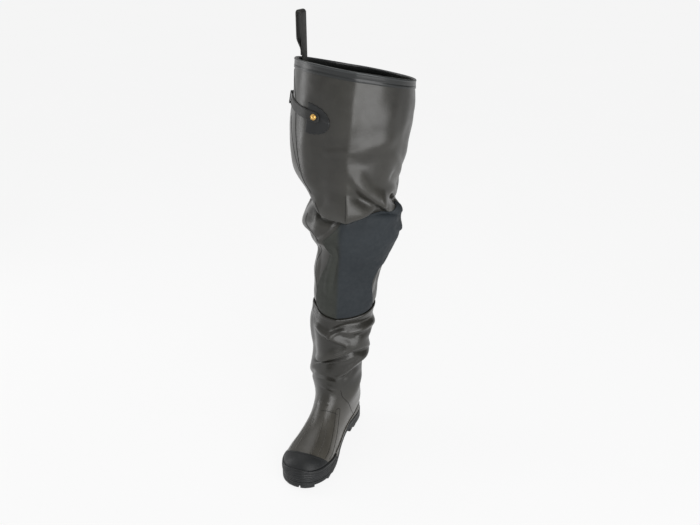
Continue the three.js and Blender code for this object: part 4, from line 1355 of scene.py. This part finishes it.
# %% Toe lugs
# Round the tip the tread is a row of curved lugs, which follow the sole's edge.
cleat_root = 0.0012
lug_reach = 0.036
lug_steps = 14
lug_section = [(-1.2, 0.0), (-0.1, 2.0), (0.0, 5.0), (0.0, None), (-12.0, None), (-11.6, 2.0), (-10.8, 0.0)]
tip_picks = [i for i in range(loop_count) if loop_u[i] > sole_length - lug_reach]
slab_points = [*slab.reshape(-1, 3)]
for start in range(tip_picks[0], tip_picks[-1] - lug_steps + 1, lug_steps + 1):
    first = len(slab_points)
    for i in range(start, start + lug_steps):
        base = float(spring(loop_u[i]))
        for out, up in lug_section:
            spot = sole_loop[i] + sole_out[i] * out / 1000
            height = cleat_depth + float(waist(loop_u[i])) + cleat_root if up is None else up / 1000
            slab_points.append((*spot, base + height))
    slab_faces += swept_faces(lug_steps, len(lug_section), first)
make_piece("outsole_slab", slab_points, slab_faces, [black_rubber], ["outsole"])

# %% Where the cleats stand
heel_bar = heel_breast / 7
heel_slot = 0.16 * ball_width
fore_bar = 0.011
fore_pitch = 0.019
fore_reach = 0.36 * ball_width
edge_in = 0.0018
cleat_spots = []


def side_cleat(u, bar, inner_x, side):
    """A cleat whose outer end is flush with the sole's edge, from inner_x outwards, on side -1 or 1."""
    here = [float(v) for v in outline(np.array((u + bar / 2) / sole_length)) * ball_width]
    reach = here[0] if side < 0 else here[1]
    reach -= edge_in
    middle = side * (reach + inner_x) / 2
    cleat_spots.append((middle, heel_setback - u - bar / 2, reach - inner_x, bar))


for row in (0, 1, 3, 4):
    for side in (-1, 1):
        side_cleat(max(1.5 * row * heel_bar, 0.003), heel_bar, heel_slot / 2, side)
cleat_spots.append((0.0, heel_setback - 3.5 * heel_bar, 2 * heel_slot, heel_bar))
for number in range(8):
    u = 0.47 * sole_length + number * fore_pitch
    side_cleat(u, fore_bar, ball_width / 2 - fore_reach, -1)
    side_cleat(u, fore_bar, ball_width / 2 - fore_reach, 1)
    middle_at = heel_setback - u - fore_pitch / 2 - 0.3 * fore_bar
    cleat_spots.append((0.0, middle_at, 0.667 * fore_reach, 0.6 * fore_bar))
cleat_front = heel_setback - sole_length + lug_reach
least_cleat = 0.006
cleat_spots = np.array(
    [spot for spot in cleat_spots if spot[2] > least_cleat and spot[1] - spot[3] / 2 > cleat_front]
)
cleat_u = heel_setback - cleat_spots[:, 1]
print(len(cleat_spots), "cleats")

# %% A chamfered bar of unit size, standing on its underside
chamfer = 0.12
bar_points = []
for z, grow in ((0.0, -chamfer), (0.22, 0.0), (1.0, 0.0)):
    for x, y in ((-1, -1), (1, -1), (1, 1), (-1, 1)):
        for dx, dy in (((0, 1), (1, 0)) if x * y > 0 else ((1, 0), (0, 1))):
            half = (0.5 + grow / 3 - dx * 0.04, 0.5 + grow / 2 - dy * 0.09)
            bar_points.append((x * half[0], y * half[1], z))
bar_faces = [tuple(f) for f in grid_faces(3, 8, flip=True)]
bar_faces += [tuple(range(8))[::-1], tuple(range(16, 24))]
bar_mesh = bpy.data.meshes.new("cleat_bar")
bar_mesh.from_pydata(bar_points, [], bar_faces)
bar = add_object("cleat_bar", bar_mesh)

# %% The cleat tree
cleat_mesh = bpy.data.meshes.new("cleat_points")
cleat_mesh.from_pydata(np.column_stack([cleat_spots[:, :2], spring(cleat_u)]).tolist(), [], [])
cleat_carrier = add_object("cleat_points", cleat_mesh)
tops = cleat_depth + waist(cleat_u) + cleat_root
sizes = cleat_mesh.attributes.new("size", "FLOAT_VECTOR", "POINT")
sizes.data.foreach_set("vector", np.column_stack([cleat_spots[:, 2:], tops]).ravel())

tree = bpy.data.node_groups.new("cleats", "GeometryNodeTree")
tree.interface.new_socket("Points", in_out="INPUT", socket_type="NodeSocketGeometry")
bar_socket = tree.interface.new_socket("Bar", in_out="INPUT", socket_type="NodeSocketObject")
wear_socket = tree.interface.new_socket("Wear", in_out="INPUT", socket_type="NodeSocketFloat")
tree.interface.new_socket("Cleats", in_out="OUTPUT", socket_type="NodeSocketGeometry")
into, out_of = tree.nodes.new("NodeGroupInput"), tree.nodes.new("NodeGroupOutput")
source = tree.nodes.new("GeometryNodeObjectInfo")
named = tree.nodes.new("GeometryNodeInputNamedAttribute")
named.data_type = "FLOAT_VECTOR"
named.inputs["Name"].default_value = "size"
scatter = tree.nodes.new("FunctionNodeRandomValue")
scatter.data_type = "FLOAT"
scatter.inputs["Seed"].default_value = 4
scaled = tree.nodes.new("ShaderNodeVectorMath")
scaled.operation = "SCALE"
spread_on = tree.nodes.new("GeometryNodeInstanceOnPoints")
real = tree.nodes.new("GeometryNodeRealizeInstances")
paint = tree.nodes.new("GeometryNodeSetMaterial")
paint.inputs["Material"].default_value = black_rubber
for start, end in (
    (into.outputs["Bar"], source.inputs["Object"]),
    (into.outputs["Wear"], next(s for s in scatter.inputs if s.name == "Min" and s.type == "VALUE")),
    (named.outputs["Attribute"], scaled.inputs[0]),
    (next(s for s in scatter.outputs if s.type == "VALUE"), scaled.inputs["Scale"]),
    (into.outputs["Points"], spread_on.inputs["Points"]),
    (source.outputs["Geometry"], spread_on.inputs["Instance"]),
    (scaled.outputs[0], spread_on.inputs["Scale"]),
    (spread_on.outputs["Instances"], real.inputs["Geometry"]),
    (real.outputs["Geometry"], paint.inputs["Geometry"]),
    (paint.outputs["Geometry"], out_of.inputs["Cleats"]),
):
    tree.links.new(start, end)
maker = cleat_carrier.modifiers.new("cleats", "NODES")
maker.node_group = tree
maker[bar_socket.identifier] = bar
maker[wear_socket.identifier] = 0.99

# %% Cleats made real
ready = cleat_carrier.evaluated_get(bpy.context.evaluated_depsgraph_get())
cleats_mesh = bpy.data.meshes.new_from_object(ready)
for spare in (cleat_carrier, bar):
    bpy.data.objects.remove(spare)
cleats = add_object("outsole_cleats", cleats_mesh)
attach(cleats, root)
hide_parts("outsole")
print("cleats", len(cleats_mesh.polygons), "faces")

# %% Insole
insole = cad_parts["insole"]
insole.data.materials.clear()
insole.data.materials.append(lining)

# %% [markdown]
# ## Seams, ribs and piping
# Where two sheets of a boot lap, a thin rubber strip covers the joint, and the mould adds ribs and
# arches. Each is a half round bead that follows a path on the skin. A Curve with a bevel could make
# one, but it would have to be shrunk onto the skin. Here the skin itself is read along the path.

# %% Beads
bead_round = np.radians(np.arange(0, 181, 45))
bead_step = 0.0022
probe_out = 0.002
sink = -0.0002


def bead_rings(place, path, half, rise):
    """Rings of one bead along a path of (degrees from the front, travel in millimetres)."""
    reader = table([[i, *point] for i, point in enumerate(path)])
    line = reader(np.linspace(0, len(path) - 1, 24 * (len(path) - 1) + 1))
    spots = place(line[:, 1] / 1000, 90 - line[:, 0])
    reach = np.r_[0, np.cumsum(np.linalg.norm(np.diff(spots, axis=0), axis=1))]
    steps = max(6, int(reach[-1] / bead_step))
    even = np.linspace(0, reach[-1], steps)
    line = np.stack([np.interp(even, reach, line[:, k]) for k in (0, 1)], -1)
    spots = place(line[:, 1] / 1000, 90 - line[:, 0])
    above = place(line[:, 1] / 1000, 90 - line[:, 0], probe_out)
    normal = (above - spots) / probe_out
    run = np.gradient(spots, axis=0)
    side = np.cross(run, normal)
    side /= np.linalg.norm(side, axis=1, keepdims=True)
    taper = np.clip(np.minimum(even, even[::-1]) / (2 * half), 0.25, 1)[:, None]
    rings = []
    for a in bead_round:
        up = sink + (rise - sink) * math.sin(a)
        rings.append(spots + (side * half * math.cos(a) + normal * up) * taper)
    return np.stack(rings, 1)


def bead_piece(name, place, beads, material):
    """One joined mesh of many beads. A bead is a path, a half width and a rise in millimetres."""
    points, faces = [], []
    for half, rise, path in beads:
        rings = bead_rings(place, path, half / 1000, rise / 1000)
        steps, count = rings.shape[:2]
        faces += swept_faces(steps, count, len(points))
        points += list(rings.reshape(-1, 3))
    make_piece(name, points, faces, [material])


# %% Seams of the leg
#  half width, rise, path
leg_beads = [
    (1.1, 0.7, [(-82, 818), (-63, 769), (-60, 743), (-54, 687), (-51, 632), (-49, 600)]),
    (0.8, 0.5, [(-75, 736), (-62, 683), (-54, 640)]),
    (1.0, 0.5, [(-45, 590), (-38, 565)]),
    (1.0, 0.6, [(-74, 545), (-67, 532), (-50, 520), (-34, 506)]),
    (1.0, 0.6, [(-44, 491), (-58, 455), (-60, 439), (-56, 396), (-58, 345)]),
    (1.2, 0.7, [(180, 820), (180, 700), (180, 600), (180, 560)]),
    (1.2, 0.7, [(180, 440), (180, 400), (180, 342)]),
    (0.7, 0.45, [(-1, 609), (0, 590), (0, 572)]),
]
# These seams are near black: partly their own colour, partly painted shade along each seam.
bead_piece("leg_seams", on_leg, leg_beads, seam_and_shade_rubber)

# %% Seams and ribs of the boot
boot_beads = [
    (0.7, 0.45, [(38, 92), (46, 76), (66, 66), (86, 57), (104, 50)]),
    (0.6, 0.4, [(-8, 2), (14, 6), (34, 12), (50, 17)]),
    (0.7, 0.45, [(40, 26), (46, 34), (52, 31), (66, -20), (73, -61), (76, -92)]),
    (0.6, 0.4, [(40, 26), (50, -30), (57, -81), (60, -104)]),
    (0.7, 0.45, [(180, 325), (180, 240), (180, 140), (180, 90)]),
]
for number, travel in enumerate((66, 76, 86)):
    reach = 118 - 6 * number
    arch = [(145, travel), (180, travel + 8), (215, travel)]
    boot_beads.append((0.55, 0.35, [(reach, travel - 40), *arch, (360 - reach, travel - 40)]))
# These seams are near black: partly their own colour, partly painted shade along each seam.
bead_piece("boot_seams", on_boot, boot_beads, seam_and_shade_rubber)
boot_ribs = [
    (1.5, 0.7, [(8, -16), (12, -62), (15, -113)]),
    (1.3, 0.6, [(24, -18), (30, -60), (34, -110)]),
    (1.5, 0.7, [(-18, -22), (-24, -60), (-28, -108)]),
    (1.3, 0.6, [(-36, -18), (-45, -60), (-48, -102)]),
]
bead_piece("vamp_ribs", on_boot, boot_ribs, boot_rubber)

# %% Rib along the cap's upper edge
cap_line = [(-66, -105.5), (-50, -112.5), (-10, -121), (31, -119), (62, -108.5)]


def on_cap(travel, angle, out=0.0):
    return on_boot(travel, angle, out + cap_seat + cap_thick)


bead_piece("toe_cap_rib", on_cap, [(0.9, 0.6, cap_line)], black_rubber)

# %% [markdown]
# ## Floor and light
# Dark rubber is seen by what it mirrors, so the lights are placed where its gloss looks. A tall soft
# box stands in front on the inner side and draws the bright face of each fold. A narrow strip on the
# outer side draws a pale line along the leg's edge. Two soft boxes overhead light the foot and the
# tops of the folds. A sun lamp would be simpler, but it would leave small hard spots.

# %% Floor
floor_half = 14.0
floor_mesh = bpy.data.meshes.new("floor")
floor_drop = 0.0004
corners = [(-1, -1), (1, -1), (1, 1), (-1, 1)]
floor_points = [(x * floor_half, y * floor_half, -floor_drop) for x, y in corners]
floor_mesh.from_pydata(floor_points, [], [(0, 1, 2, 3)])
floor = add_object("floor", floor_mesh)
floor_glow = {"Emission Color": (1, 1, 1, 1), "Emission Strength": 0.88}
floor_finish = Finish("pale_floor", {"Roughness": 0.9, "Specular IOR Level": 0.0, **floor_glow})
floor_tone = floor_finish.spread(floor_finish.noise(1.5, 2.0), 0.3, 0.7)
floor_finish.link("Base Color", floor_finish.mix(floor_tone, linear(76, 76, 76), linear(79, 79, 79)))
floor_mesh.materials.append(floor_finish.material)
floor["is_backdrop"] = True
print("floor", 2 * floor_half, "m wide")

# %% Lights
#  name, place, aimed at, width, height, power
soft_boxes = [
    ("right wall", (1.42, -1.28, 0.95), (0.0, -0.06, 0.95), 1.3, 1.9, 34.0),
    ("left strip", (-1.60, -0.30, 0.90), (0.0, -0.06, 0.90), 0.5, 1.8, 11.0),
    ("ceiling", (-0.60, 0.50, 2.20), (0.0, -0.06, 0.30), 1.4, 1.4, 9.0),
    ("bright sky", (0.9, -1.3, 2.3), (0.0, -0.06, 0.30), 0.8, 0.8, 9.0),
]
for name, spot, target, width, height, power in soft_boxes:
    light = bpy.data.lights.new(name, "AREA")
    light.shape = "RECTANGLE"
    light.size = width
    light.size_y = height
    light.energy = power
    lamp = add_object(name, light)
    lamp.visible_camera = False
    lamp.location = spot
    lamp.rotation_euler = (Vector(target) - Vector(spot)).to_track_quat("-Z", "Y").to_euler()
print(len(soft_boxes), "soft boxes")

# %% World and tone
# The walls are brighter to look at than the light they throw, so the object keeps its deep tones. The
# wall behind on the inner side throws less, as a dark curtain would, so the far edge of the leg is dark.
world = bpy.data.worlds.new("white_studio")
world.use_nodes = True
world_nodes, world_links = world.node_tree.nodes, world.node_tree.links
room = world_nodes["Background"]
walls = world_nodes.new("ShaderNodeBackground")
walls.inputs["Strength"].default_value = 0.93
for background in (room, walls):
    background.inputs["Color"].default_value = (1, 1, 1, 1)
path_kind = world_nodes.new("ShaderNodeLightPath")
either = world_nodes.new("ShaderNodeMixShader")
world_links.new(path_kind.outputs["Is Camera Ray"], either.inputs["Fac"])
way = world_nodes.new("ShaderNodeTexCoord")
towards_dark = world_nodes.new("ShaderNodeVectorMath")
towards_dark.operation = "DOT_PRODUCT"
towards_dark.inputs[1].default_value = (0.77, 0.64, 0.0)
dimmer = world_nodes.new("ShaderNodeMapRange")
for socket, value in (("From Min", 0.0), ("From Max", 0.9), ("To Min", 0.52), ("To Max", 0.14)):
    dimmer.inputs[socket].default_value = value
world_links.new(way.outputs["Generated"], towards_dark.inputs[0])
world_links.new(towards_dark.outputs["Value"], dimmer.inputs["Value"])
world_links.new(dimmer.outputs["Result"], room.inputs["Strength"])
world_links.new(room.outputs[0], either.inputs[1])
world_links.new(walls.outputs[0], either.inputs[2])
world_links.new(either.outputs[0], world_nodes["World Output"].inputs["Surface"])
bpy.context.scene.world = world
bpy.context.scene.view_settings.view_transform = "Standard"

# %% [markdown]
# ## Sizes
# The fine model has to fill the same box as the solid one, so both boxes are printed side by side.

# %% Sizes and finish
looks_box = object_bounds()
sizes = {"cad": [list(corner) for corner in cad_box], "looks": [list(corner) for corner in looks_box]}
print("solid box", [[round(v, 4) for v in corner] for corner in cad_box])
print("fine box", [[round(v, 4) for v in corner] for corner in looks_box])
